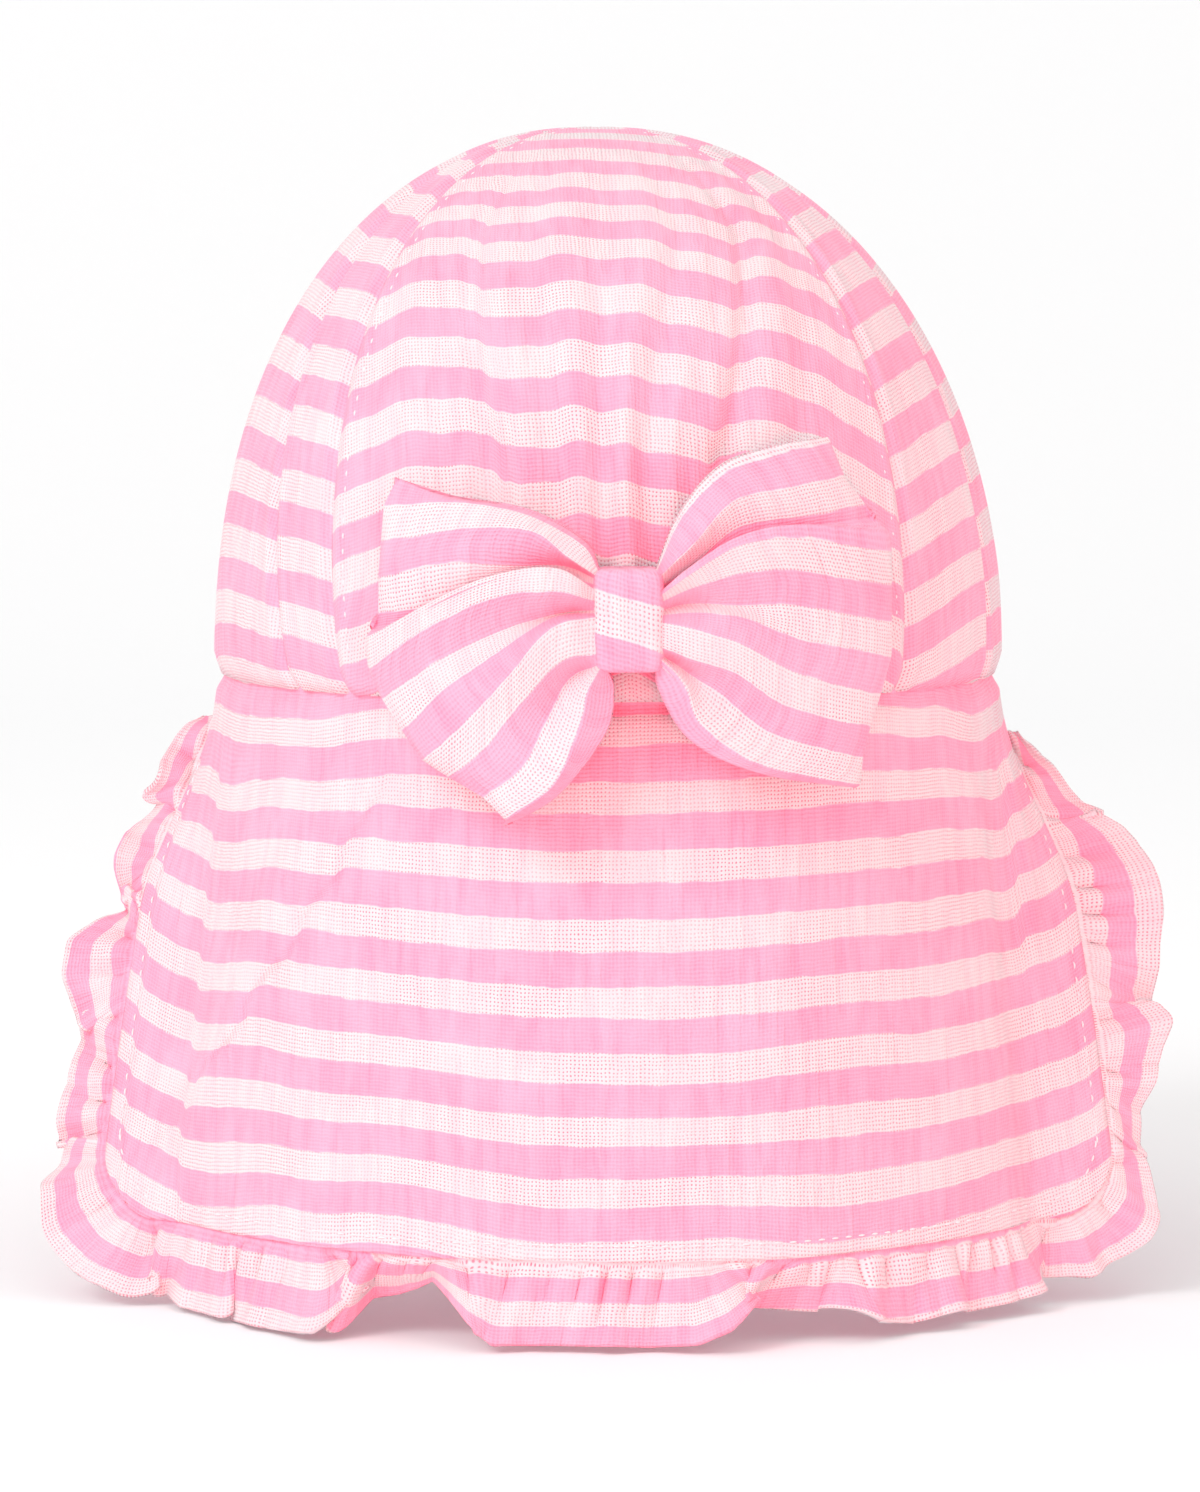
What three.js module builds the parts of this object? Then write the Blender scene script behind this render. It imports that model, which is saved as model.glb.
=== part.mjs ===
// A toddler's sun hat of crinkled striped gauze: a crown sewn from six panels, a short peak,
// a flap over the neck with a gathered ruffle round its edge, and a bow low on the back.
// Millimetres, +Z up. The origin is the centre of the crown's opening and +Y points to the front.
import * as THREE from "three";

// Crown
const crownHalfWidth = 78.5;
const crownHalfDepth = 91;
const crownHeight = 107.5;
const crownRoundness = 2.15;
const crownLean = 2.4;
const leanCurve = 1.3;
const crownWall = 2;
const rippleDepth = 0.9;
const seamSweep = 0.6;
const apexHole = 2;

// The clear space between two pieces that are sewn together
const seamGap = 0.35;

// Neck flap: its drop below the crown, its half width and reach behind at the foot
const flapDrop = 101;
const flapHalfWidth = 99;
const flapReach = 110;
const flapWall = 2;
const flapInset = 0.8;
const flapCorner = 13;
const flapRimTurn = 88;
const flapFootTurn = 66;
const flapFlare = 1.2;
const lipStart = 0.8;
const lipOut = 8;
const lipBack = 8;
const foldDepth = 2;

// Gathered ruffle
const ruffleWidth = 15;
const ruffleWall = 1.3;
const ruffleStart = 0.05;
const ruffleEnd = 0.985;
const ruffleCurl = 1.3;

// Peak
const peakReach = 48;
const peakHalfTurn = 62;
const peakSlope = 20;
const peakWall = 3;
const peakFullness = 0.75;
const peakDroop = 5;
const peakForward = 0.45;

// Bow
const knotHalfWidth = 6.8;
const knotHalfHeight = 9.5;
const knotDepth = 15;
const knotSide = 3.6;
const knotRise = 16;
const knotSquareness = 4;
const bowSpan = 48;
const bowWall = 1.6;
const bowPuff = 7;
const bowPinch = 2.5;
const bowPleat = 1;
const bowFan = 0.42;
const bowEnd = 1.6;
const bowClearance = 1.2;
const bowHug = 0.6;

const degrees = Math.PI / 180;

// Seams between crown panels: azimuth in degrees at the opening and at the top.
// Azimuth 0 is the middle of the back and 90 is the right-hand side seen from behind.
const seams = {
  backLeft: { foot: -39.5, top: -51 },
  backRight: { foot: 45, top: 54 },
  sideLeft: { foot: -50, top: -70 },
  sideRight: { foot: 70, top: 74 },
  frontLeft: { foot: -128, top: -122 },
  frontRight: { foot: 128, top: 122 },
  frontLeftFromFront: { foot: 232, top: 238 },
};

// Soft upright ripples of the crown: azimuth and spread in degrees, depth as a share of rippleDepth
const crownRipples = [
  { azimuth: -24, spread: 5, depth: 1 },
  { azimuth: -12, spread: 5, depth: -0.7 },
  { azimuth: -1, spread: 5, depth: 0.8 },
  { azimuth: 12, spread: 5, depth: -0.8 },
  { azimuth: 22, spread: 5, depth: 1 },
  { azimuth: 33, spread: 6, depth: -0.9 },
  { azimuth: 150, spread: 9, depth: 0.6 },
  { azimuth: 205, spread: 9, depth: 0.6 },
];

// Soft folds of the flap: place across it from -1 to 1 at the rim and at the foot, spread in
// the same shares, and depth as a share of foldDepth
const flapFolds = [
  { rim: -0.42, foot: -0.9, spread: 0.06, depth: 1 },
  { rim: -0.1, foot: -0.12, spread: 0.12, depth: -0.7 },
  { rim: 0.25, foot: 0.3, spread: 0.1, depth: 0.6 },
  { rim: 0.8, foot: 0.86, spread: 0.05, depth: -1 },
];

// Waves of the ruffle on each side, from the middle of the foot (0) to the rim (1): reach as a
// share of ruffleWidth, and lift away from the head as a share of it too
const ruffleLeft = [
  { at: 0, reach: 1, lift: 0.1 },
  { at: 0.05, reach: 1, lift: -0.12 },
  { at: 0.095, reach: 0.97, lift: 0.22 },
  { at: 0.15, reach: 0.62, lift: 0.3 },
  { at: 0.2, reach: 0.75, lift: -0.2 },
  { at: 0.23, reach: 1, lift: 0.25 },
  { at: 0.28, reach: 1, lift: -0.1 },
  { at: 0.33, reach: 0.97, lift: 0.16 },
  { at: 0.38, reach: 0.95, lift: -0.12 },
  { at: 0.43, reach: 0.95, lift: 0.2 },
  { at: 0.46, reach: 0.9, lift: -0.2 },
  { at: 0.5, reach: 0.95, lift: 0.2 },
  { at: 0.55, reach: 0.95, lift: -0.05 },
  { at: 0.6, reach: 0.8, lift: -0.25 },
  { at: 0.655, reach: 0.9, lift: 0.2 },
  { at: 0.71, reach: 0.78, lift: -0.25 },
  { at: 0.77, reach: 1, lift: 0.2 },
  { at: 0.83, reach: 0.6, lift: -0.25 },
  { at: 0.885, reach: 0.85, lift: 0.2 },
  { at: 0.935, reach: 0.7, lift: -0.25 },
  { at: 0.97, reach: 0.85, lift: 0.15 },
  { at: 1, reach: 0.5, lift: 0 },
];
const ruffleRight = [
  { at: 0, reach: 1, lift: 0.1 },
  { at: 0.06, reach: 1, lift: -0.1 },
  { at: 0.105, reach: 0.85, lift: 0.25 },
  { at: 0.155, reach: 0.78, lift: -0.2 },
  { at: 0.2, reach: 0.9, lift: 0.2 },
  { at: 0.26, reach: 0.95, lift: -0.12 },
  { at: 0.31, reach: 0.93, lift: 0.15 },
  { at: 0.36, reach: 0.93, lift: -0.1 },
  { at: 0.4, reach: 0.85, lift: 0.22 },
  { at: 0.44, reach: 0.92, lift: -0.15 },
  { at: 0.48, reach: 0.85, lift: 0.22 },
  { at: 0.53, reach: 0.95, lift: -0.15 },
  { at: 0.57, reach: 0.95, lift: 0.15 },
  { at: 0.605, reach: 0.75, lift: -0.22 },
  { at: 0.65, reach: 0.85, lift: 0.15 },
  { at: 0.71, reach: 1, lift: -0.1 },
  { at: 0.755, reach: 0.92, lift: 0.22 },
  { at: 0.8, reach: 1.1, lift: -0.15 },
  { at: 0.86, reach: 1.25, lift: 0.2 },
  { at: 0.9, reach: 1.15, lift: -0.22 },
  { at: 0.94, reach: 0.9, lift: 0.12 },
  { at: 1, reach: 0.4, lift: 0 },
];

// Outline of each loop's folded end from its top to its foot, as shares of bowSpan from the knot
const leftLoopEnd = [
  { out: 0.9, rise: 0.53 },
  { out: 0.95, rise: 0.36 },
  { out: 0.97, rise: 0.05 },
  { out: 0.97, rise: -0.25 },
  { out: 0.82, rise: -0.52 },
  { out: 0.5, rise: -0.76 },
];
const rightLoopEnd = [
  { out: 0.77, rise: 0.7 },
  { out: 0.9, rise: 0.46 },
  { out: 1, rise: 0.25 },
  { out: 1, rise: 0 },
  { out: 0.95, rise: -0.3 },
  { out: 0.82, rise: -0.62 },
];

/** Linear blend from a to b. */
function mix(a, b, share) {
  return a + (b - a) * share;
}

/** 0 below low, 1 above high, and a smooth rise between. */
function smooth(low, high, x) {
  const s = Math.min(1, Math.max(0, (x - low) / (high - low)));
  return s * s * (3 - 2 * s);
}

/** A bell of height 1 and the given half width round a centre. */
function bell(x, centre, spread) {
  return Math.exp(-(((x - centre) / spread) ** 2));
}

/** Value of a named column of a table, rounded smoothly between rows that are ordered by key. */
function readTable(rows, key, column, x) {
  const last = rows.length - 1;
  let i = 0;
  while (i < last - 1 && rows[i + 1][key] < x) i += 1;
  return mix(rows[i][column], rows[i + 1][column], smooth(rows[i][key], rows[i + 1][key], x));
}

/** Unit normal of a surface at (u, v), from small steps to both sides. */
function surfaceNormal(surface, u, v) {
  const step = 1e-3;
  const alongU = surface(u + step, v).sub(surface(u - step, v));
  const alongV = surface(u, v + step).sub(surface(u, v - step));
  return alongU.cross(alongV).normalize();
}

/** A closed solid between two grids of points that face each other, with its faces outwards. */
function solidBetween(front, back) {
  const rows = front.length;
  const columns = front[0].length;
  const points = [...front.flat(), ...back.flat()];
  const at = (side, i, j) => side * rows * columns + i * columns + j;
  const faces = [];
  const quad = (a, b, c, d) => faces.push(a, b, c, a, c, d);
  for (let i = 0; i < rows - 1; i += 1) {
    for (let j = 0; j < columns - 1; j += 1) {
      quad(at(0, i, j), at(0, i + 1, j), at(0, i + 1, j + 1), at(0, i, j + 1));
      quad(at(1, i, j), at(1, i, j + 1), at(1, i + 1, j + 1), at(1, i + 1, j));
    }
  }
  for (let i = 0; i < rows - 1; i += 1) {
    quad(at(0, i, 0), at(1, i, 0), at(1, i + 1, 0), at(0, i + 1, 0));
    quad(at(0, i, columns - 1), at(0, i + 1, columns - 1), at(1, i + 1, columns - 1), at(1, i, columns - 1));
  }
  for (let j = 0; j < columns - 1; j += 1) {
    quad(at(0, 0, j), at(0, 0, j + 1), at(1, 0, j + 1), at(1, 0, j));
    quad(at(0, rows - 1, j), at(1, rows - 1, j), at(1, rows - 1, j + 1), at(0, rows - 1, j + 1));
  }
  return closedGeometry(points, faces);
}

/** A geometry of shared points, turned right side out if its volume comes out negative. */
function closedGeometry(points, faces) {
  let volume = 0;
  for (let i = 0; i < faces.length; i += 3) {
    const [a, b, c] = [points[faces[i]], points[faces[i + 1]], points[faces[i + 2]]];
    volume += a.dot(new THREE.Vector3().crossVectors(b, c));
  }
  const order = volume < 0 ? faces.toReversed() : faces;
  const geometry = new THREE.BufferGeometry().setFromPoints(points);
  geometry.setIndex(order);
  geometry.computeVertexNormals();
  return geometry;
}

/** A grid of points: place(u, v) at every pair of shares from 0 to 1. */
function gridOf(across, along, place) {
  const grid = [];
  for (let i = 0; i <= across; i += 1) {
    const row = [];
    for (let j = 0; j <= along; j += 1) row.push(place(i / across, j / along));
    grid.push(row);
  }
  return grid;
}

/** A wall of cloth: the surface with its thickness laid on the side that its normal points to. */
function wallBehind(across, along, shares, surface, wall) {
  const face = gridOf(across, along, (a, b) => surface(...shares(a, b)));
  const rear = gridOf(across, along, (a, b) => {
    const [u, v] = shares(a, b);
    return surface(u, v).addScaledVector(surfaceNormal(surface, u, v), wall);
  });
  return solidBetween(face, rear);
}

/** Inward push of the crown's ripples at an azimuth: deepest low down and gone at the top. */
function crownRipple(azimuth, rise) {
  const push = crownRipples.reduce(
    (sum, row) => sum + row.depth * bell(azimuth / degrees, row.azimuth, row.spread),
    0,
  );
  return rippleDepth * push * smooth(0, 0.12, rise) * (1 - smooth(0.55, 0.95, rise));
}

/** A point of the crown: an ellipse that shrinks along a rounded profile as it rises. */
function crownPoint(azimuth, rise, inset) {
  const shrink = Math.cos((rise * Math.PI) / 2) ** (2 / crownRoundness);
  const lift = Math.sin((rise * Math.PI) / 2) ** (2 / crownRoundness);
  const depth = inset + crownRipple(azimuth, rise);
  return new THREE.Vector3(
    (crownHalfWidth - depth) * shrink * Math.sin(azimuth) - crownLean * lift ** leanCurve,
    -(crownHalfDepth - depth) * shrink * Math.cos(azimuth),
    (crownHeight - inset) * lift,
  );
}

/** The rise at which the crown's profile has shrunk to the small hole at its top. */
const topRise = (2 / Math.PI) * Math.acos((apexHole / crownHalfWidth) ** (crownRoundness / 2));

/** One crown panel between two seams. */
function crownPanel(left, right, across) {
  const along = 12;
  const face = (inset) =>
    gridOf(across, along, (u, v) => {
      const rise = topRise * v;
      const shrink = Math.cos((rise * Math.PI) / 2) ** (2 / crownRoundness);
      const halfGap = seamGap / 2 / ((crownHalfWidth - inset) * shrink);
      const sweep = v ** seamSweep;
      const from = mix(left.foot, left.top, sweep) * degrees + halfGap;
      const to = mix(right.foot, right.top, sweep) * degrees - halfGap;
      return crownPoint(mix(from, to, u), rise, inset);
    });
  return solidBetween(face(0), face(crownWall));
}

/** How far the flap has spread from the crown's edge at a share of its drop. */
function flapSpread(down) {
  return Math.max(0, down) ** flapFlare;
}

/** A point of the flap's outer face: u from -1 to 1 across it, down from 0 at the rim to 1. */
function flapPoint(u, down) {
  const spread = flapSpread(down);
  const turn = mix(flapRimTurn, flapFootTurn, down) * degrees;
  const halfWidth = mix(crownHalfWidth - flapInset, flapHalfWidth, spread);
  const reach = mix(crownHalfDepth - flapInset, flapReach, spread);
  const edge = Math.max(0, (Math.abs(u) - lipStart) / (1 - lipStart)) ** 2 * smooth(0.06, 0.45, down);
  const folds = flapFolds.reduce(
    (sum, row) => sum + row.depth * bell(u, mix(row.rim, row.foot, down), row.spread),
    0,
  );
  const push = folds * foldDepth * smooth(0.05, 0.4, down) * (1 - smooth(0.85, 1, Math.abs(u)));
  return new THREE.Vector3(
    (halfWidth + push) * Math.sin(u * turn) + Math.sign(u) * lipOut * edge,
    -(reach + push) * Math.cos(u * turn) - lipBack * edge,
    -seamGap - flapDrop * down,
  );
}

/** Half of the flap's width, along the cloth at its foot. */
const flapHalfLength = ((flapHalfWidth + flapReach) / 2) * flapFootTurn * degrees;
const cornerAcross = flapCorner / flapHalfLength;
const cornerDown = flapCorner / flapDrop;

/** Lowest share of the drop that the flap reaches at u: 1 over most of it, less in the corner. */
function flapHem(u) {
  const past = Math.max(0, (Math.abs(u) - (1 - cornerAcross)) / cornerAcross);
  return 1 - cornerDown * (1 - Math.sqrt(Math.max(0, 1 - past * past)));
}

/** Shares across the flap, closer together in the round corners. */
function flapAcross(a) {
  return Math.sin((a - 0.5) * Math.PI * 0.98) / Math.sin(Math.PI * 0.49);
}

/** The neck flap. */
function neckFlap() {
  const shares = (a, b) => [flapAcross(a), flapHem(flapAcross(a)) * b];
  return wallBehind(44, 12, shares, flapPoint, flapWall);
}

/** A place on the flap's edge: p from -1 at the left rim, 0 at the middle of the foot, to 1. */
function flapEdge(p) {
  const footShare = 0.52;
  const cornerShare = 0.08;
  const q = Math.abs(p);
  const side = p < 0 ? -1 : 1;
  if (q <= footShare) return [(side * (1 - cornerAcross) * q) / footShare, 1];
  if (q <= footShare + cornerShare) {
    const turn = (((q - footShare) / cornerShare) * Math.PI) / 2;
    return [side * (1 - cornerAcross * (1 - Math.sin(turn))), 1 - cornerDown * (1 - Math.cos(turn))];
  }
  const climbed = (q - footShare - cornerShare) / (1 - footShare - cornerShare);
  return [side, mix(1 - cornerDown, ruffleStart, climbed)];
}

/** A point of the ruffle: p along the flap's edge, w from its seam to its free edge. */
function rufflePoint(p, w) {
  const step = 4e-3;
  const base = flapPoint(...flapEdge(p));
  const along = flapPoint(...flapEdge(p + step)).sub(flapPoint(...flapEdge(p - step))).normalize();
  const outwards = surfaceNormal(flapPoint, ...flapEdge(p)).negate();
  const away = new THREE.Vector3().crossVectors(along, outwards).normalize();
  const rows = p < 0 ? ruffleLeft : ruffleRight;
  const reach = readTable(rows, "at", "reach", Math.abs(p)) * ruffleWidth;
  const lift = readTable(rows, "at", "lift", Math.abs(p)) * ruffleWidth;
  return base
    .addScaledVector(outwards, lift * Math.max(0, w) ** ruffleCurl - flapWall / 2)
    .addScaledVector(away, seamGap + reach * w);
}

/** The ruffle, a wall centred on its surface. */
function flapRuffle() {
  const across = 150;
  const face = (side) =>
    gridOf(across, 3, (a, w) => {
      const p = mix(-ruffleEnd, ruffleEnd, a);
      const normal = surfaceNormal(rufflePoint, p, w);
      return rufflePoint(p, w).addScaledVector(normal, (side * ruffleWall) / 2);
    });
  return solidBetween(face(-1), face(1));
}

/** A point of the peak: u from -1 to 1 round the forehead, out from the rim to the free edge. */
function peakPoint(u, out) {
  const azimuth = Math.PI - u * peakHalfTurn * degrees;
  const reach = peakReach * Math.cos((u * Math.PI) / 2) ** peakFullness * out;
  const slope = peakSlope * degrees;
  const droop = peakDroop * u * u * out;
  const inner = crownPoint(azimuth, 0, crownWall);
  const heading = mix(azimuth, Math.PI, peakForward);
  return new THREE.Vector3(
    inner.x + reach * Math.sin(heading) * Math.cos(slope),
    inner.y - reach * Math.cos(heading) * Math.cos(slope),
    -seamGap - reach * Math.sin(slope) - droop,
  );
}

/** The peak, a wall below its upper surface. */
function hatPeak() {
  const place = (a, b) => {
    const u = Math.sin((a - 0.5) * Math.PI * 0.96);
    return peakPoint(u, mix(0.02, 1, b));
  };
  const upper = gridOf(26, 6, place);
  const lower = upper.map((row) => row.map((p) => p.clone().setZ(p.z - peakWall)));
  return solidBetween(upper, lower);
}

/** How far behind the origin the bow's back lies at a place: clear of the crown and the flap. */
function bowBack(x, z) {
  const below = Math.max(0, -z) / flapDrop;
  const lean = (flapReach - crownHalfDepth) * flapSpread(below) + foldDepth * smooth(0, 0.2, below);
  const above = Math.min(1, Math.max(0, z) / crownHeight);
  const narrowing = 1 - (1 - above ** crownRoundness) ** (1 / crownRoundness);
  const sideways = 1 - Math.sqrt(Math.max(0, 1 - (x / crownHalfWidth) ** 2));
  const recede = bowHug * crownHalfDepth * (narrowing + sideways);
  return crownHalfDepth + rippleDepth + bowClearance + lean - recede;
}

/** A point of a loop: way runs from the knot along the front (1), round the folded end (0)
 * and back behind (-1), and h from the loop's top edge (0) to its lower one (1). */
function loopPoint(side, ends, way, h, inset) {
  const out = 1 - Math.abs(way) ** bowEnd;
  const facing = Math.sign(way) * (1 - (1 - Math.abs(way)) ** 3);
  const at = h * (ends.length - 1);
  const row = Math.min(ends.length - 2, Math.floor(at));
  const endOut = mix(ends[row].out, ends[row + 1].out, at - row) * bowSpan - inset;
  const endRise = mix(ends[row].rise, ends[row + 1].rise, at - row) * bowSpan;
  const x = side * mix(knotHalfWidth + seamGap, endOut, out);
  const z = mix(0.8 * knotHalfHeight * (1 - 2 * h), endRise, out ** bowFan);
  const plump = smooth(0, 0.45, out) * mix(0.5, 1, Math.sin(Math.PI * h));
  const pleat = bowPleat * Math.cos(h * Math.PI * 6) * Math.sin(Math.PI * out);
  const half = mix(bowPinch, bowPuff, plump) + pleat * smooth(0, 1, facing) - inset;
  const middle = bowBack(x + knotSide, z + knotRise) + bowPuff;
  return new THREE.Vector3(x + knotSide, -(middle + facing * half), z + knotRise);
}

/** One loop of the bow: a strip folded back on itself, open above and below. */
function bowLoop(side, ends) {
  const face = (inset) => gridOf(18, 9, (a, h) => loopPoint(side, ends, 1 - 2 * a, h, inset));
  return solidBetween(face(0), face(bowWall));
}

/** The knot: a pillow with round edges, narrowest at its middle. */
function bowKnot() {
  const rise = (2 / Math.PI) * Math.asin((knotRise / crownHeight) ** (crownRoundness / 2));
  const back = seamGap - crownPoint(Math.asin(knotSide / crownHalfWidth), rise, 0).y;
  const around = 20;
  const points = [];
  const faces = [];
  const levels = 9;
  for (let j = 0; j <= levels; j += 1) {
    const height = Math.sin(((j / levels) * 2 - 1) * (Math.PI / 2) * 0.96);
    const round = (1 - Math.abs(height) ** knotSquareness) ** (1 / knotSquareness);
    for (let i = 0; i < around; i += 1) {
      const turn = (i / around) * 2 * Math.PI;
      const [cosine, sine] = [Math.cos(turn), Math.sin(turn)];
      const size = Math.abs(cosine) ** knotSquareness + Math.abs(sine) ** knotSquareness;
      const square = round * size ** (-1 / knotSquareness);
      points.push(
        new THREE.Vector3(
          knotSide + knotHalfWidth * square * cosine,
          -back - (knotDepth / 2) * (1 + square * sine),
          knotRise + knotHalfHeight * height,
        ),
      );
    }
  }
  for (let j = 0; j < levels; j += 1) {
    for (let i = 0; i < around; i += 1) {
      const next = (i + 1) % around;
      const [a, b] = [j * around + i, j * around + next];
      const [c, d] = [b + around, a + around];
      faces.push(a, b, c, a, c, d);
    }
  }
  for (let i = 1; i < around - 1; i += 1) {
    const top = levels * around;
    faces.push(0, i + 1, i, top, top + i, top + i + 1);
  }
  return closedGeometry(points, faces);
}

/** A named piece of matt cloth in one colour. */
function piece(name, geometry, colour) {
  const material = new THREE.MeshStandardMaterial({ color: colour, roughness: 0.9, metalness: 0 });
  const mesh = new THREE.Mesh(geometry, material);
  mesh.name = name;
  return mesh;
}

const stripedGauze = 0xfdcfe2;
const trimPink = 0xffb8d6;

const group = new THREE.Group();
group.add(
  piece("crown_back_panel", crownPanel(seams.backLeft, seams.backRight, 20), stripedGauze),
  piece("crown_side_back_left", crownPanel(seams.sideLeft, seams.backLeft, 5), stripedGauze),
  piece("crown_side_back_right", crownPanel(seams.backRight, seams.sideRight, 5), stripedGauze),
  piece("crown_side_front_left", crownPanel(seams.frontLeft, seams.sideLeft, 9), stripedGauze),
  piece("crown_side_front_right", crownPanel(seams.sideRight, seams.frontRight, 9), stripedGauze),
  piece("crown_front_panel", crownPanel(seams.frontRight, seams.frontLeftFromFront, 14), stripedGauze),
  piece("peak", hatPeak(), stripedGauze),
  piece("neck_flap", neckFlap(), stripedGauze),
  piece("flap_ruffle", flapRuffle(), stripedGauze),
  piece("bow_loop_left", bowLoop(-1, leftLoopEnd), stripedGauze),
  piece("bow_loop_right", bowLoop(1, rightLoopEnd), stripedGauze),
  piece("bow_knot", bowKnot(), trimPink),
);

export default group;
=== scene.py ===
# %% [markdown]
# # A toddler's sun hat in striped gauze
# The real hat is sewn from double gauze, a soft open cloth woven in pink and white stripes. It has a
# crown of six panels, a short peak, a flap that shades the neck, a gathered ruffle and a bow.
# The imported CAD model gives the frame: where each piece is, and how large. This script dresses it.
# Lengths in the cells are millimetres, because cloth is measured in them, and the meshes are metres.

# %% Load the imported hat
import math
import bpy
import numpy as np
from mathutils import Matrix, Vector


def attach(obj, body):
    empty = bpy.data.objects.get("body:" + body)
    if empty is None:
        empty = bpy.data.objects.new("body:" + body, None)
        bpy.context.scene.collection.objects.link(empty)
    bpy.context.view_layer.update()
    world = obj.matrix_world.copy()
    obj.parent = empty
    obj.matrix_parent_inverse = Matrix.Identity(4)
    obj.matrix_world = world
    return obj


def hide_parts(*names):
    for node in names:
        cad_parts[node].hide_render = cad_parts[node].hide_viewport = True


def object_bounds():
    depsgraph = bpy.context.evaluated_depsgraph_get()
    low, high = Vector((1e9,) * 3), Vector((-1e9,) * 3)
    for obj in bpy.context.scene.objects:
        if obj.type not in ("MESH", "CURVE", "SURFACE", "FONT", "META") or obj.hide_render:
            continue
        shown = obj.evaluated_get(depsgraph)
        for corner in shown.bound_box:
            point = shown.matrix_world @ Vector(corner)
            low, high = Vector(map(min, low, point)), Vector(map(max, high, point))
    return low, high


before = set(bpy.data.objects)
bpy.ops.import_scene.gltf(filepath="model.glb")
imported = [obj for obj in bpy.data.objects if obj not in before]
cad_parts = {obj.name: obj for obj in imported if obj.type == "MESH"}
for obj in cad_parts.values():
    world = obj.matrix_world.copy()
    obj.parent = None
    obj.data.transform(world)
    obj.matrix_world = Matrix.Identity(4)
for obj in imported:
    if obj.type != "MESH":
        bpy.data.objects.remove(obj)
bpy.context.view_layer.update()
MM = 0.001
print("nodes:", sorted(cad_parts))

# %% [markdown]
# ## Camera, light and floor
# The photograph was taken from behind the hat, a little above the crown's edge, with a long lens.
# A soft lamp at the upper left gives the cloth its form, and a pale surround fills the shade. In thin
# pink gauze the light that passes through the cloth keeps its folds pink, never grey. Four weak rosy
# lamps, one on each side of the hat, and a small low one that shines up under the bow stand in for that
# light, and they leave the floor out.
# The floor runs up into a backdrop in one bend, so that no horizon line shows.

# %% Camera
camera_data = bpy.data.cameras.new("hat_camera")
camera_data.lens = 145.26
camera_data.sensor_width = 36
camera_data.clip_end = 20
camera = bpy.data.objects.new("hat_camera", camera_data)
camera.location = (-0.0016, -1.2, 0.084)
camera.rotation_euler = (math.radians(90 - 4.74), 0, 0)
bpy.context.scene.collection.objects.link(camera)
bpy.context.scene.camera = camera
bpy.context.scene.view_settings.view_transform = "Standard"

# %% Lamp and surround
surround = bpy.data.worlds.new("white_surround")
surround.use_nodes = True
surround.node_tree.nodes["Background"].inputs["Color"].default_value = (1.0, 0.96, 0.94, 1)
surround.node_tree.nodes["Background"].inputs["Strength"].default_value = 0.97
bpy.context.scene.world = surround


def soft_lamp(name, place, target, size, watts, colour=(1, 1, 1)):
    """A square lamp at place, turned so that it shines at target."""
    data = bpy.data.lights.new(name, "AREA")
    data.color = colour
    data.shape = "SQUARE"
    data.size = size
    data.energy = watts
    lamp = bpy.data.objects.new(name, data)
    away = np.array(place, float) - np.array(target, float)
    flat = math.hypot(away[0], away[1])
    lamp.rotation_euler = (math.atan2(flat, away[2]), 0, math.atan2(away[1], away[0]) + math.pi / 2)
    lamp.location = place
    bpy.context.scene.collection.objects.link(lamp)
    return lamp


soft_lamp("window_lamp", (-1.2, -1.4, 1.3), (0, 0, 0), 0.9, 17)
ROSE, PALE_ROSE = (1.0, 0.04, 0.06), (1.0, 0.38, 0.4)
rose_lamps = [soft_lamp("rose_lamp_" + side, (1.5 * x, 1.5 * y, 0.15), (0, 0, 0), 0.7, watts, colour)
              for side, x, y, watts, colour in (("back", 0, -1, 8, PALE_ROSE), ("right", 1, 0, 5, ROSE),
                                                ("front", 0, 1, 7, ROSE), ("left", -1, 0, 5, ROSE))]
rose_lamps.append(soft_lamp("rose_lamp_low", (0.05, -0.8, -0.03), (0, -0.1, -0.01), 0.14, 2.4, ROSE))
for lamp in rose_lamps:
    lamp.visible_camera = False


# %% [markdown]
# ## Shared arithmetic
# Every piece of this hat is a sheet, so each is a function of two parameters worked out on a grid.
# A few small functions are enough: a blend, a smooth step, a bell, and a table that is read between rows.


# %% Blends, bells and tables
def mix(a, b, share):
    """Linear blend: a plus the share of the way to b."""
    return a + (b - a) * share


def smooth(low, high, x):
    """0 below low, 1 above high, and s squared times (3 - 2s) between, s being the share of the way."""
    s = np.clip((x - low) / (high - low), 0, 1)
    return s * s * (3 - 2 * s)


def bell(x, centre, spread):
    """e to the power of minus the squared distance from the centre, measured in spreads."""
    return np.exp(-(((x - centre) / spread) ** 2))


def table(columns, *rows):
    """Rows of a table, each one read by the names of its columns."""
    return [dict(zip(columns.split(), row)) for row in rows]


def column_of(rows, name):
    """One column of a table as an array."""
    return np.array([row[name] for row in rows], float)


def read_table(rows, key, column, x):
    """Value of a column at x, rounded smoothly between the two rows round it."""
    keys, values = column_of(rows, key), column_of(rows, column)
    i = np.clip(np.searchsorted(keys, x, side="right") - 1, 0, len(keys) - 2)
    return mix(values[i], values[i + 1], smooth(keys[i], keys[i + 1], x))


def unit(v):
    """v divided by its length."""
    return v / np.maximum(np.linalg.norm(v, axis=-1, keepdims=True), 1e-9)


def run_of(points, axis):
    """Distance run along one direction of a grid of points, from the start of that direction."""
    steps = np.linalg.norm(np.diff(points, axis=axis), axis=-1)
    return np.concatenate([np.zeros_like(steps.take([0], axis)), np.cumsum(steps, axis=axis)], axis=axis)


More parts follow.
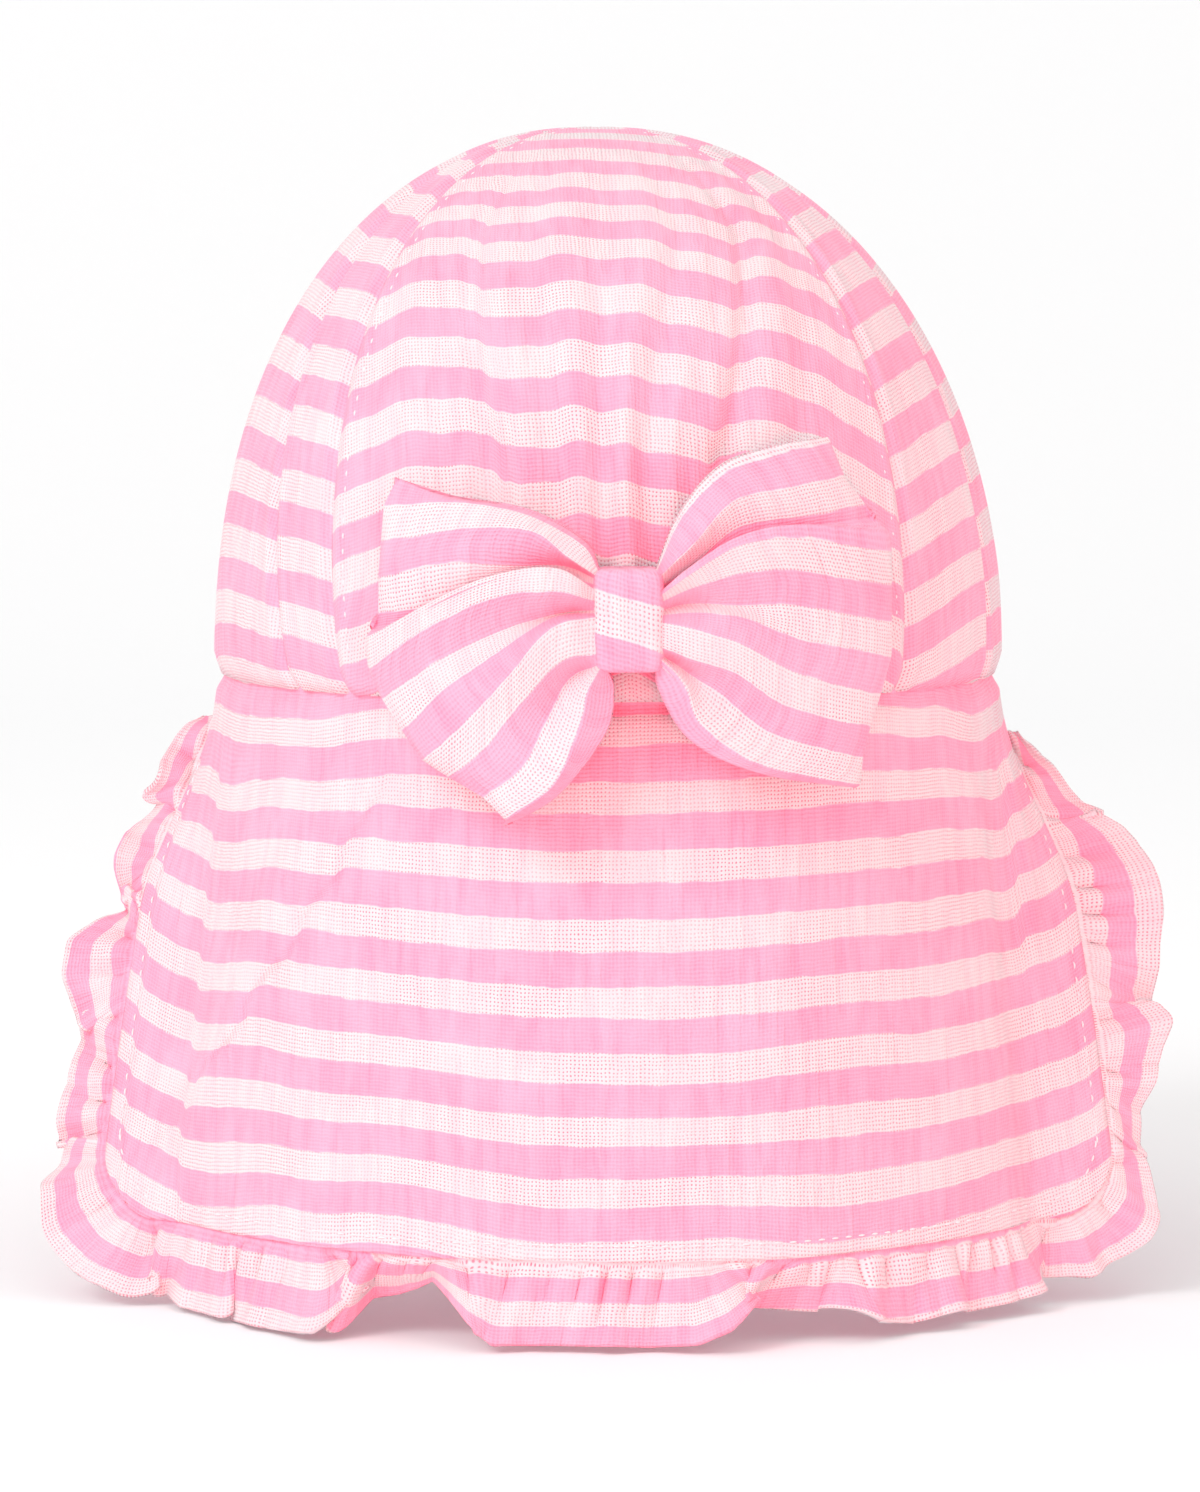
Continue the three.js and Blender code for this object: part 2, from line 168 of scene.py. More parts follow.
def normals_of(points):
    """Normal of a grid of points: the cross product of its two directions, taken by differences."""
    return unit(np.cross(np.gradient(points, axis=0), np.gradient(points, axis=1)))


def facing_back(points):
    """Normals of a grid, all turned over if the one a sixth of the way in doesn't face the hat's back."""
    face = normals_of(points)
    return face if face[face.shape[0] // 6, face.shape[1] // 2, 1] < 0 else -face


# %% Meshes from grids
def grid_quads(rows, columns):
    """The four corners of every cell of a grid whose points are numbered row by row."""
    corner = (np.arange(rows - 1)[:, None] * columns + np.arange(columns - 1)).ravel()
    return np.stack([corner, corner + columns, corner + columns + 1, corner + 1], axis=1)


def cloth_mesh(name, points, quads, cloth, material):
    """A mesh in metres with a UV map named cloth: millimetres across and along the weave."""
    mesh = bpy.data.meshes.new(name)
    mesh.from_pydata(points.reshape(-1, 3) * MM, [], quads.tolist())
    layer = mesh.uv_layers.new(name="cloth")
    layer.data.foreach_set("uv", cloth.reshape(-1, 2)[quads.ravel()].astype(np.float32).ravel())
    mesh.polygons.foreach_set("use_smooth", np.ones(len(quads), bool))
    mesh.materials.append(material)
    mesh.update()
    piece = bpy.data.objects.new(name, mesh)
    bpy.context.scene.collection.objects.link(piece)
    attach(piece, "root")
    return piece


def signed_volume(points, quads):
    """Six times the volume inside the quads: negative where they face inwards."""
    a, b, c, d = (points[quads[:, i]] for i in range(4))
    return float(np.sum(a * np.cross(b, c)) + np.sum(a * np.cross(c, d)))


def cloth_wall(name, outer, inner, cloth, material):
    """A closed wall of cloth: two grids that face each other, joined by a strip round their edges."""
    rows, columns = outer.shape[:2]
    face = grid_quads(rows, columns)
    ring = np.concatenate([
        np.arange(columns),
        np.arange(1, rows) * columns + columns - 1,
        (rows - 1) * columns + np.arange(columns - 2, -1, -1),
        np.arange(rows - 2, 0, -1) * columns,
    ])
    after = np.roll(ring, -1)
    rim = np.stack([ring, after, after + rows * columns, ring + rows * columns], axis=1)
    quads = np.concatenate([face, face[:, ::-1] + rows * columns, rim])
    points = np.concatenate([outer.reshape(-1, 3), inner.reshape(-1, 3)])
    if signed_volume(points, quads) < 0:
        quads = quads[:, ::-1]
    both = np.concatenate([cloth.reshape(-1, 2), cloth.reshape(-1, 2)])
    piece = cloth_mesh(name, points, quads, both, material)
    print(name, len(quads) * 2, "triangles")
    return piece


# %% [markdown]
# ## The gauze
# Double gauze is two open plain weaves caught together, so it crinkles. Close up, the white stripes show
# rows of tiny holes and the pink ones fine threads. The stripes are woven in, so their edges are a little
# ragged, thread by thread. All of it is worked out from the cloth's own millimetres, which each piece
# carries in its UV map. The weave, the stripe and the crinkle are node groups, used by every material.


# %% Helpers for node trees
def feed(tree, socket, value):
    """Links a socket to another one, or sets it to a value."""
    if isinstance(value, bpy.types.NodeSocket):
        tree.links.new(value, socket)
    else:
        socket.default_value = value


def add_node(tree, kind, inputs=(), **settings):
    """A node with its settings, and its inputs linked from sockets or set to values."""
    node = tree.nodes.new(kind)
    for key, value in settings.items():
        setattr(node, key, value)
    for key, value in dict(inputs).items():
        feed(tree, node.inputs[key], value)
    return node


def reckon(tree, operation, *values):
    """The output of a Math node."""
    return add_node(tree, "ShaderNodeMath", enumerate(values), operation=operation).outputs[0]


def noise(tree, place, scale, detail, distortion=0.0):
    """The outputs of a flat noise texture read at place."""
    inputs = {"Vector": place, "Scale": scale, "Detail": detail, "Distortion": distortion}
    return add_node(tree, "ShaderNodeTexNoise", inputs, noise_dimensions="2D").outputs


def ramp(tree, value, low, high, shape="LINEAR"):
    """The output of a Map Range node: 0 where the value is low, 1 where it is high."""
    inputs = {"Value": value, "From Min": low, "From Max": high}
    return add_node(tree, "ShaderNodeMapRange", inputs, interpolation_type=shape).outputs[0]


def new_group(name, inputs, outputs):
    """An empty node group with its sockets; inputs are (name, kind, value) and outputs (name, kind)."""
    group = bpy.data.node_groups.new(name, "ShaderNodeTree")
    for title, kind, value in inputs:
        socket = group.interface.new_socket(title, in_out="INPUT", socket_type=kind)
        if value is not None:
            socket.default_value = value
    for title, kind in outputs:
        group.interface.new_socket(title, in_out="OUTPUT", socket_type=kind)
    return group, group.nodes.new("NodeGroupInput").outputs, group.nodes.new("NodeGroupOutput").inputs


FLOAT, VECTOR = "NodeSocketFloat", "NodeSocketVector"

# %% The weave: threads and the holes between them
weave, given, made = new_group(
    "gauze_weave",
    [("Cloth", VECTOR, None), ("Pitch", FLOAT, 0.72), ("Waver", FLOAT, 0.5)],
    [("Holes", FLOAT), ("Threads", FLOAT)],
)
drift = noise(weave, given["Cloth"], 0.45, 1.5)["Color"]
centred = add_node(weave, "ShaderNodeVectorMath", {0: drift, 1: (0.5, 0.5, 0.5)}, operation="SUBTRACT")
pushed = add_node(weave, "ShaderNodeVectorMath", {0: centred.outputs[0], "Scale": given["Waver"]},
                  operation="SCALE")
strayed = add_node(weave, "ShaderNodeVectorMath", {0: given["Cloth"], 1: pushed.outputs[0]}, operation="ADD")
split = add_node(weave, "ShaderNodeSeparateXYZ", {0: strayed.outputs[0]})
turns = reckon(weave, "DIVIDE", 2 * math.pi, given["Pitch"])
warp = reckon(weave, "SINE", reckon(weave, "MULTIPLY", split.outputs[0], turns))
weft = reckon(weave, "SINE", reckon(weave, "MULTIPLY", split.outputs[1], turns))
both_low = reckon(weave, "MULTIPLY", reckon(weave, "ADD", warp, 1.0), reckon(weave, "ADD", weft, 1.0))
weave.links.new(ramp(weave, both_low, 1.6, 3.4, "SMOOTHSTEP"), made["Holes"])
lines = reckon(weave, "MULTIPLY_ADD", weft, -0.3, 0.5)
weave.links.new(reckon(weave, "MULTIPLY_ADD", warp, -0.2, lines), made["Threads"])

# %% The woven stripes
stripes, given, made = new_group(
    "woven_stripes",
    [("Cloth", VECTOR, None), ("Period", FLOAT, 12.5), ("Pink share", FLOAT, 0.5), ("Ragged", FLOAT, 0.3)],
    [("Pink", FLOAT)],
)
fray = noise(stripes, given["Cloth"], 0.9, 2.0)["Fac"]
slow = noise(stripes, given["Cloth"], 0.14, 1.0)["Fac"]
along = add_node(stripes, "ShaderNodeSeparateXYZ", {0: given["Cloth"]}).outputs[1]
stray = reckon(stripes, "MULTIPLY", reckon(stripes, "SUBTRACT", fray, 0.5), given["Ragged"])
bent = reckon(stripes, "MULTIPLY", reckon(stripes, "SUBTRACT", slow, 0.5), 0.9)
row = reckon(stripes, "ADD", reckon(stripes, "ADD", along, stray), bent)
place = reckon(stripes, "FRACT", reckon(stripes, "DIVIDE", row, given["Period"]))
half_share = reckon(stripes, "MULTIPLY", given["Pink share"], 0.5)
from_middle = reckon(stripes, "ABSOLUTE", reckon(stripes, "SUBTRACT", place, half_share))
wrapped = reckon(stripes, "MINIMUM", from_middle, reckon(stripes, "SUBTRACT", 1.0, from_middle))
edge = reckon(stripes, "SUBTRACT", half_share, wrapped)
stripes.links.new(ramp(stripes, edge, -0.012, 0.012, "SMOOTHSTEP"), made["Pink"])

# %% The crinkle
crinkle, given, made = new_group(
    "gauze_crinkle", [("Cloth", VECTOR, None)], [("Height", FLOAT), ("Patches", FLOAT)])
narrow = add_node(crinkle, "ShaderNodeVectorMath", {0: given["Cloth"], 1: (0.4, 0.07, 1.0)},
                  operation="MULTIPLY")
crinkle.links.new(noise(crinkle, narrow.outputs[0], 1.0, 1.5, 0.3)["Fac"], made["Height"])
crinkle.links.new(noise(crinkle, given["Cloth"], 0.06, 3.0)["Fac"], made["Patches"])


# %% [markdown]
# Pink and white are not two flat paints. Where the crinkle stands up the pink is pale; in its valleys both
# colours are painted deeper and pinker as painted crease shade, and random cloudy patches deepen the pink
# too.
# The white lets some of the pink behind it through its holes.

# %% Gauze materials
def shade(red, green, blue):
    """A linear colour from the 0 to 255 values that a screen shows."""
    values = np.array([red, green, blue]) / 255
    linear = np.where(values <= 0.04045, values / 12.92, ((values + 0.055) / 1.055) ** 2.4)
    return (*linear.tolist(), 1.0)


def blend_colours(tree, share, first, second):
    """The output of a Mix node: first where share is 0, second where it is 1."""
    node = tree.nodes.new("ShaderNodeMix")
    node.data_type = "RGBA"
    for place, value in ((0, share), (6, first), (7, second)):
        feed(tree, node.inputs[place], value)
    return node.outputs[2]


# The deep pink is painted crease shade in the crinkle's valleys and also the deeper tone of random patches;
# the lit white is the plain white, and the second white is painted crease shade.
PALE_PINK, DEEP_PINK, THREAD_PINK = shade(252, 173, 200), shade(252, 145, 178), shade(253, 192, 214)
LIT_WHITE, WHITE_IN_CREASE_SHADE, HOLE_PINK = shade(218, 219, 222), shade(222, 203, 212), shade(212, 136, 158)


def striped_gauze(name, period, pink_share=0.5):
    """Gauze with woven stripes: weave, stripe and crinkle read from the piece's cloth map."""
    material = bpy.data.materials.new(name)
    material.use_nodes = True
    tree = material.node_tree
    shader = tree.nodes["Principled BSDF"]
    cloth = add_node(tree, "ShaderNodeUVMap", uv_map="cloth").outputs[0]
    threads = add_node(tree, "ShaderNodeGroup", {"Cloth": cloth}, node_tree=weave).outputs
    band = add_node(tree, "ShaderNodeGroup", {"Cloth": cloth, "Period": period, "Pink share": pink_share},
                    node_tree=stripes)
    creases = add_node(tree, "ShaderNodeGroup", {"Cloth": cloth}, node_tree=crinkle).outputs
    # Painted crease shade: depth is near 1 in the crinkle's valleys, and there the pink and the white below
    # are painted deeper and pinker.
    depth = ramp(tree, creases["Height"], 0.62, 0.3)
    cloudy = ramp(tree, creases["Patches"], 0.35, 0.65)
    # Painted crease shade mixed with random cloudy patches of deeper pink.
    crease_shade_and_patches = reckon(tree, "MULTIPLY_ADD", depth, 0.45, reckon(tree, "MULTIPLY", cloudy, 0.4))
    lined = reckon(tree, "MULTIPLY", threads["Threads"], 0.32)
    pinks = blend_colours(tree, lined, blend_colours(tree, crease_shade_and_patches, PALE_PINK, DEEP_PINK), THREAD_PINK)
    openness = reckon(tree, "MULTIPLY_ADD", cloudy, 0.6, 0.4)
    open_weave = reckon(tree, "MULTIPLY", threads["Holes"], openness)
    # Painted crease shade on the white stripes, half as strong as on the pink.
    whites = blend_colours(tree, reckon(tree, "MULTIPLY", depth, 0.5), LIT_WHITE, WHITE_IN_CREASE_SHADE)
    whites = blend_colours(tree, open_weave, whites, HOLE_PINK)
    feed(tree, shader.inputs["Base Color"], blend_colours(tree, band.outputs["Pink"], whites, pinks))
    feed(tree, shader.inputs["Roughness"], reckon(tree, "MULTIPLY_ADD", threads["Threads"], -0.12, 0.96))
    relief = reckon(tree, "SUBTRACT", threads["Threads"], threads["Holes"])
    fine = add_node(tree, "ShaderNodeBump", {"Height": relief, "Strength": 0.6, "Distance": 0.00018})
    broad = add_node(tree, "ShaderNodeBump", {"Height": creases["Height"], "Strength": 0.45,
                                              "Distance": 0.001, "Normal": fine.outputs[0]})
    feed(tree, shader.inputs["Normal"], broad.outputs[0])
    for key, value in {"Specular IOR Level": 0.2, "Sheen Weight": 0.15, "Sheen Roughness": 0.6}.items():
        shader.inputs[key].default_value = value
    return material


CROWN_PERIOD, BOW_PERIOD = 12.9, 12.4  # a pink and a white stripe together
crown_gauze = striped_gauze("crown_gauze", CROWN_PERIOD)
flap_gauze = striped_gauze("flap_gauze", 12.15, pink_share=0.53)
ruffle_gauze = striped_gauze("ruffle_gauze", 10.0)
bow_gauze = striped_gauze("bow_gauze", BOW_PERIOD)
peak_gauze = striped_gauze("peak_gauze", 12.5)


def thread_material(name, colour):
    """Twisted sewing thread: a plain colour with a fine slanting twist in its relief."""
    material = bpy.data.materials.new(name)
    material.use_nodes = True
    tree = material.node_tree
    shader = tree.nodes["Principled BSDF"]
    cloth = add_node(tree, "ShaderNodeUVMap", uv_map="cloth").outputs[0]
    twist = add_node(tree, "ShaderNodeTexWave", {"Vector": cloth, "Scale": 1.6, "Distortion": 0.4},
                     bands_direction="DIAGONAL")
    tint = blend_colours(tree, reckon(tree, "MULTIPLY", twist.outputs["Fac"], 0.4),
                         shade(*colour), shade(238, 214, 222))
    tree.links.new(tint, shader.inputs["Base Color"])
    relief = add_node(tree, "ShaderNodeBump", {"Height": twist.outputs["Fac"], "Strength": 0.4,
                                               "Distance": 0.0001})
    tree.links.new(relief.outputs[0], shader.inputs["Normal"])
    shader.inputs["Roughness"].default_value = 0.7
    return material


white_thread = thread_material("white_thread", (246, 240, 242))
print("materials:", [m.name for m in bpy.data.materials])

# %% [markdown]
# ## Topstitching
# Beside each seam a row of white stitches holds the seam allowance down. A stitch is a short fat thread
# that dips into the cloth at both ends. One low capsule is repeated along a line of points, as one mesh
# per row, because hundreds of separate objects would be slow.


# %% One row of stitches
def stitch_row(name, path, normals, pitch=3.0, length=1.5, girth=0.22):
    """Capsules every pitch along the path: a tapered barrel laid along it, half sunk in the cloth."""
    steps = np.linalg.norm(np.diff(path, axis=0), axis=1)
    run = np.concatenate([[0], np.cumsum(steps)])
    at = np.arange(pitch, run[-1] - pitch, pitch)
    centre = np.stack([np.interp(at, run, path[:, i]) for i in range(3)], axis=1)
    ahead = np.stack([np.interp(at + 0.3, run, path[:, i]) for i in range(3)], axis=1)
    up = unit(np.stack([np.interp(at, run, normals[:, i]) for i in range(3)], axis=1))
    forward = unit(ahead - centre)
    aside = np.cross(up, forward)
    sides, rings = 6, 5
    turn = np.arange(sides) / sides * 2 * np.pi
    share = np.sin(np.linspace(-1, 1, rings) * np.pi / 2 * 0.94)
    radius = girth * np.sqrt(1 - share**2)
    barrel = np.stack([
        np.repeat(share * length / 2, sides),
        (radius[:, None] * np.cos(turn)).ravel(),
        (radius[:, None] * np.sin(turn)).ravel() + np.repeat(0.1 - 0.2 * share**2, sides),
    ], axis=1)
    points = (centre[:, None] + barrel[:, 0, None] * forward[:, None] + barrel[:, 1, None] * aside[:, None]
              + barrel[:, 2, None] * up[:, None])
    ring = np.arange(rings - 1)[:, None] * sides
    near, far = np.arange(sides), (np.arange(sides) + 1) % sides
    walls = np.stack([ring + near, ring + far, ring + far + sides, ring + near + sides], axis=-1)
    top = (rings - 1) * sides
    caps = np.array([[0, 3, 2, 1], [0, 5, 4, 3], [top, top + 1, top + 2, top + 3],
                     [top, top + 3, top + 4, top + 5]])
    one = np.concatenate([walls.reshape(-1, 4), caps])
    quads = (one[None] + np.arange(len(at))[:, None, None] * rings * sides).reshape(-1, 4)
    flat = points.reshape(-1, 3)
    if signed_volume(flat, quads) < 0:
        quads = quads[:, ::-1]
    cloth = np.tile(barrel[:, :2] * 4, (len(at), 1))
    row = cloth_mesh(name, flat, quads, cloth, white_thread)
    print(name, len(at), "stitches")
    return row


# %% [markdown]
# ## The crown
# Six panels make the dome. In section the dome is a rounded ellipse that shrinks as it rises; each panel
# is the part of it between two seams. The stripes run round each panel nearly level, and because each
# panel is cut flat they bow and step at the seams, so the stripe's own coordinate is worked out per panel.

# %% The dome
HALF_WIDTH, HALF_DEPTH, HEIGHT = 78.5, 91.0, 107.5
ROUNDNESS, LEAN, LEAN_CURVE, APEX_HOLE = 2.15, 2.4, 1.3, 0.4
CROWN_RIPPLES = table(
    "azimuth spread depth",
    (-36, 3.2, -0.6), (-30, 2.2, 0.8), (-24, 2.6, 1.9), (-17.5, 2.8, -1.5), (-11, 2.6, 0.9),
    (-5, 2.4, -0.6), (0, 2.4, 1.4), (6, 2.6, -1.1), (12, 2.4, 1.2), (17, 2.4, -0.9), (22, 2.2, -0.6),
    (27, 2.2, 1.8), (33, 3.0, -0.9), (39, 2.4, 0.5), (-62, 3.0, 0.7), (-75, 4.0, -0.6), (57, 3.0, 0.6),
    (82, 4.0, -0.6), (104, 5.0, 0.7), (68, 3.0, -0.7), (92, 3.4, 0.8), (117, 3.4, -0.9), (-88, 3.4, 0.9),
    (-97, 2.6, -0.7), (-106, 4.0, 0.8), (-117, 3.0, -0.8), (136, 3.0, 1.0), (144, 3.2, -0.9),
    (153, 3.4, 1.1), (162, 2.6, -0.7), (171, 3.6, 0.9), (181, 3.0, -0.9), (190, 2.8, 0.8),
    (199, 3.4, -0.8), (208, 3.2, 1.1), (217, 3.0, -0.8), (226, 2.8, 0.8),
)


def toward_bow(azimuth, rise):
    """The azimuth that a ripple seen here has at mid height: ripples of the back lean in to the bow."""
    per_step = mix(-3.0, 4.0, smooth(-15, 15, azimuth))
    steps = np.clip((0.45 - rise) / 0.088, -1.5, 2.2)
    return azimuth + steps * per_step * (1 - smooth(40, 60, np.abs(azimuth)))


def crown_point(azimuth, rise, inset=0.0):
    """A point of the dome, from its azimuth in degrees and its rise from 0 at the edge to 1.

    The section is |x/a|^n + |z/h|^n = 1: the width shrinks as cos^(2/n) and the height grows as
    sin^(2/n) of the rise times a quarter turn.
    """
    angle = np.radians(azimuth)
    shrink = np.cos(rise * np.pi / 2) ** (2 / ROUNDNESS)
    lift = np.sin(rise * np.pi / 2) ** (2 / ROUNDNESS)
    leaning = toward_bow(azimuth, rise)
    ripple = sum(row["depth"] * bell(leaning, row["azimuth"], row["spread"]) for row in CROWN_RIPPLES)
    depth = inset + ripple * smooth(0, 0.12, rise) * (1 - smooth(0.6, 0.97, rise))
    depth = depth + 1.4 * (1 - smooth(0, 5.5, HEIGHT * lift)) ** 2
    x = (HALF_WIDTH - depth) * shrink * np.sin(angle) - LEAN * lift**LEAN_CURVE
    y = -(HALF_DEPTH - depth) * shrink * np.cos(angle)
    return np.stack([x, y, (HEIGHT - inset) * lift + 0 * x], axis=-1)


# %% Panels and their stripes
# left and right are the azimuths of a panel's seams at the foot and at the top; across counts grid
# points; start is how far below the crown's top a pink stripe begins; period, bow and slant shape the
# stripes
CROWN_PANELS = table(
    "name left right across start period bow slant",
    ("back_panel", (-39.5, -51), (45, 54), 201, 0, 12.9, 0.4, 0.1),
    ("side_back_left", (-50, -70), (-39.5, -51), 41, 77.5, 13, 1, 0.22),
    ("side_back_right", (45, 54), (70, 74), 51, 83, 13, 1, -0.29),
    ("side_front_left", (-128, -122), (-50, -70), 141, 86.5, 13.3, 1, -0.16),
    ("side_front_right", (70, 74), (128, 122), 111, 84.5, 13.6, 1, 0.17),
    ("front_panel", (128, 122), (232, 238), 151, 4, 12.7, 0.8, 0),
)
# Where each pink stripe's upper edge lies on the middle line of the back panel: it is stretched over
# the head lower down, so its stripes are further apart there
BACK_STRIPES = table(
    "down stripe",
    (0, -1.7), (22.5, 0), (36, 1), (48, 2), (58, 3), (68.5, 4), (82, 5), (95.5, 6), (109.5, 7), (123.5, 8),
    (150, 9.9), (170, 11.3),
)
# How far the ripples pull the back panel's stripes down (or up), in millimetres, at mid height
BACK_JOGS = table(
    "azimuth shift",
    (-52, -1), (-45, -2.5), (-36, -4), (-30, -3.5), (-27, -3), (-24, -2), (-21, 1), (-18, 2), (-12, 1),
    (-6, 0), (6, 0), (12, 0.5), (18, 1), (24, 1.5), (27, -1.5), (30, -3), (36, -3.5), (42, -4),
    (48, -2.5), (56, -1),
)
TOP_RISE = 2 / math.pi * math.acos((APEX_HOLE / HALF_WIDTH) ** (ROUNDNESS / 2))
CROWN_WALL = 1.6
SEAM_DIP, SEAM_RIDGE = 0.9, 0.35  # the seam's groove, and the seam allowance that pads the cloth beside it
UNDER_KNOT_PULL = 6.5


def girth_at(rise):
    """Half the dome's width at a rise."""
    return HALF_WIDTH * np.cos(rise * np.pi / 2) ** (2 / ROUNDNESS)


def seam_azimuth(seam, up):
    """Azimuth of a seam from its foot to its top, turning fastest low down: a share of up^0.6."""
    return mix(seam[0], seam[1], up**0.6)


def panel_grid(panel, along=110):
    """Azimuth, rise, distance to the nearest seam and half width of a grid that is finer at the seams."""
    t = np.linspace(0, 1, panel["across"])[:, None]
    share = t - 0.1 * np.sin(2 * np.pi * t)
    up = np.linspace(0, 1, along)[None, :]
    rise = TOP_RISE * (up + 0.02 * np.sin(np.pi * up)) + 0 * share
    left, right = (seam_azimuth(panel[side], rise / TOP_RISE) for side in ("left", "right"))
    azimuth = mix(left, right, share)
    girth = girth_at(rise)
    aside = np.radians(np.minimum(azimuth - left, right - azimuth)) * girth
    return azimuth, rise, aside, girth


def panel_cloth(panel, azimuth, rise):
    """Millimetres across and down the panel's cloth.

    Down is the length s of the dome's profile from the top, less the bow s (1 - cos b) of a flat cut
    and a slant, b being the distance across divided by s.
    """
    profile = crown_point(azimuth, rise)
    down = run_of(profile[:, ::-1], 1)[:, ::-1]
    across = run_of(profile, 0)
    across = across - across[len(across) // 2]
    turn = np.clip(across / np.maximum(down, 1), -1.5, 1.5)
    row = down - panel["bow"] * down * (1 - np.cos(turn)) - panel["slant"] * down * np.sin(turn)
    if panel["name"] == "back_panel":
        jog = read_table(BACK_JOGS, "azimuth", "shift", toward_bow(azimuth, rise))
        row = row - jog * (1 - smooth(0.5, 0.9, rise))
        row = row + UNDER_KNOT_PULL * bell(azimuth, 3, 9) * (1 - smooth(0.05, 0.12, rise))
        at, stripe = (column_of(BACK_STRIPES, name) for name in ("down", "stripe"))
        row = CROWN_PERIOD * np.interp(row, at, stripe)
    row = (row - panel["start"]) * CROWN_PERIOD / panel["period"]
    return np.stack([across, row], axis=-1)


for panel in CROWN_PANELS:
    azimuth, rise, aside, girth = panel_grid(panel)
    dip = (SEAM_DIP * bell(aside, 0, 1.3) - SEAM_RIDGE * bell(aside, 2.6, 1.2)) * smooth(0, 6, girth)
    outer = crown_point(azimuth, rise, dip)
    inner = crown_point(azimuth, rise, CROWN_WALL)
    cloth = panel_cloth(panel, azimuth, rise)
    piece = cloth_wall("crown_" + panel["name"] + "_gauze", outer, inner, cloth, crown_gauze)
    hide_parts("crown_" + panel["name"])

# %% [markdown]
# The stitches lie on the panel at a set distance from its seam, so each row is a curve on the dome: at
# every height the azimuth is the seam's, moved by that distance over the dome's girth there.


# %% Stitches beside the crown's seams
def crown_stitches(name, seam, offset, low=0.03, high=0.93):
    """A row of stitches offset millimetres to the right of a seam, on the dome's surface."""
    rise = np.linspace(low, high, 400) * TOP_RISE
    azimuth = seam_azimuth(seam, rise / TOP_RISE) + np.degrees(offset / girth_at(rise))
    path = crown_point(azimuth, rise)
    beside = crown_point(azimuth + 0.2, rise)
    normals = unit(np.cross(beside - path, np.gradient(path, axis=0)))
    stitch_row(name, path, normals)


CROWN_STITCHES = table(
    "name seam offset",
    ("back_left_inside", (-39.5, -51), 3.8),
    ("back_left_outside", (-39.5, -51), -3.0),
    ("back_right_inside", (45, 54), -3.5),
    ("side_right", (70, 74), 3.2),
    ("front_left", (-128, -122), 3.2),
    ("front_right", (128, 122), -3.2),
    ("forehead_left", (232, 238), -3.2),
    ("forehead_right", (128, 122), 3.2),
)
for row in CROWN_STITCHES:
    crown_stitches("stitches_" + row["name"], row["seam"], row["offset"])

# %% [markdown]
# ## The peak
# A short brim over the forehead: two layers of gauze over a soft filling, with rows of stitching that
# follow its edge. It isn't seen in the photograph, so it stays plain. It is one surface that leaves the
# crown's edge and slopes down, with the same surface again below it.

# %% The peak's two layers
PEAK_REACH, PEAK_TURN, PEAK_SLOPE, PEAK_WALL, PEAK_TUCK = 48.0, 62.0, 20.0, 3.0, 4.0


def peak_point(u, out):
    """A point of the peak: u from -1 to 1 round the forehead, out from the rim (0) to the edge (1).

    It goes out by the reach times cos^0.75 of u's quarter turn and droops most beside the middle. Where
    out is below zero it is the edge that is sewn in, standing up behind the crown's edge.
    """
    azimuth = 180 - u * PEAK_TURN
    taper = np.cos(u * np.pi / 2) ** 0.75
    reach = PEAK_REACH * taper * np.maximum(out, 0)
    heading = np.radians(mix(azimuth, 180, 0.45))
    slope = math.radians(PEAK_SLOPE)
    angle = np.radians(azimuth)
    x = (HALF_WIDTH - 2.2) * np.sin(angle) + reach * np.sin(heading) * math.cos(slope)
    y = -(HALF_DEPTH - 2.2) * np.cos(angle) - reach * np.cos(heading) * math.cos(slope)
    droop = reach * math.sin(slope) + 14 * u * u * taper * np.maximum(out, 0) ** 1.5
    return np.stack([x, y, 0.25 - droop + PEAK_TUCK * np.maximum(-out, 0) / 0.06], axis=-1)


turn = np.sin(np.linspace(-0.5, 0.5, 130) * np.pi * 0.96)[:, None]
out = np.concatenate([np.linspace(-0.06, 0, 6)[:-1], np.linspace(0, 1, 46)])[None, :]
upper = peak_point(turn, out)
sewn_in = 1 - smooth(0, 0.05, out)
quilt = 0.3 * np.cos(out * PEAK_REACH / 7 * 2 * np.pi) * (1 - sewn_in)
edge_round = np.clip((out - 0.93) / 0.07, 0, 1) ** 2 * 1.2
thick = PEAK_WALL - 2 * edge_round
inward = -unit(upper * [1, 1, 0])
above = upper + np.array([0, 0, 1.0]) * (-edge_round + quilt)[..., None]
below = upper - mix(np.array([0, 0, 1.0]), -inward, sewn_in[..., None]) * (
    (edge_round + thick) * mix(1, 0.45, sewn_in))[..., None]
cloth = np.stack([upper[..., 0], upper[..., 1]], axis=-1)
peak = cloth_wall("peak_gauze_layers", above, below, cloth, peak_gauze)
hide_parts("peak")

# %% [markdown]
# ## The neck flap
# A broad sheet sewn to the crown's edge from ear to ear. It hangs like a cape and spreads as it falls.
# Its grid runs across and down; round lower corners come from a shorter drop near the sides. A soft
# diagonal crease on the left and an upright one on the right break its stripes, as in the photograph.

# %% The flap's surface
FLAP_DROP, FLAP_HALF_WIDTH, FLAP_REACH, FLAP_WALL, FLAP_CORNER = 101.0, 99.0, 110.0, 1.7, 13.0
SEAM_GAP, LIP_START, LIP = 0.35, 0.8, 8.0
FLAP_TOP = -0.04  # the flap's own top edge is sewn in, four millimetres up behind the crown's edge
FLAP_FIRST_STRIPE = 3.9  # where the woven stripes start, measured on the flap's cloth at the crown's edge
LEFT_STEP, RIGHT_STEP = 1.5, 2.2  # how far the stripes jump at the two creases
FLAP_FOLDS = table(
    "rim foot spread depth",
    (-0.42, -0.9, 0.06, 1.2), (-0.1, -0.12, 0.12, -1.4), (0.25, 0.3, 0.1, 1.2), (0.8, 0.86, 0.05, -2.0),
)
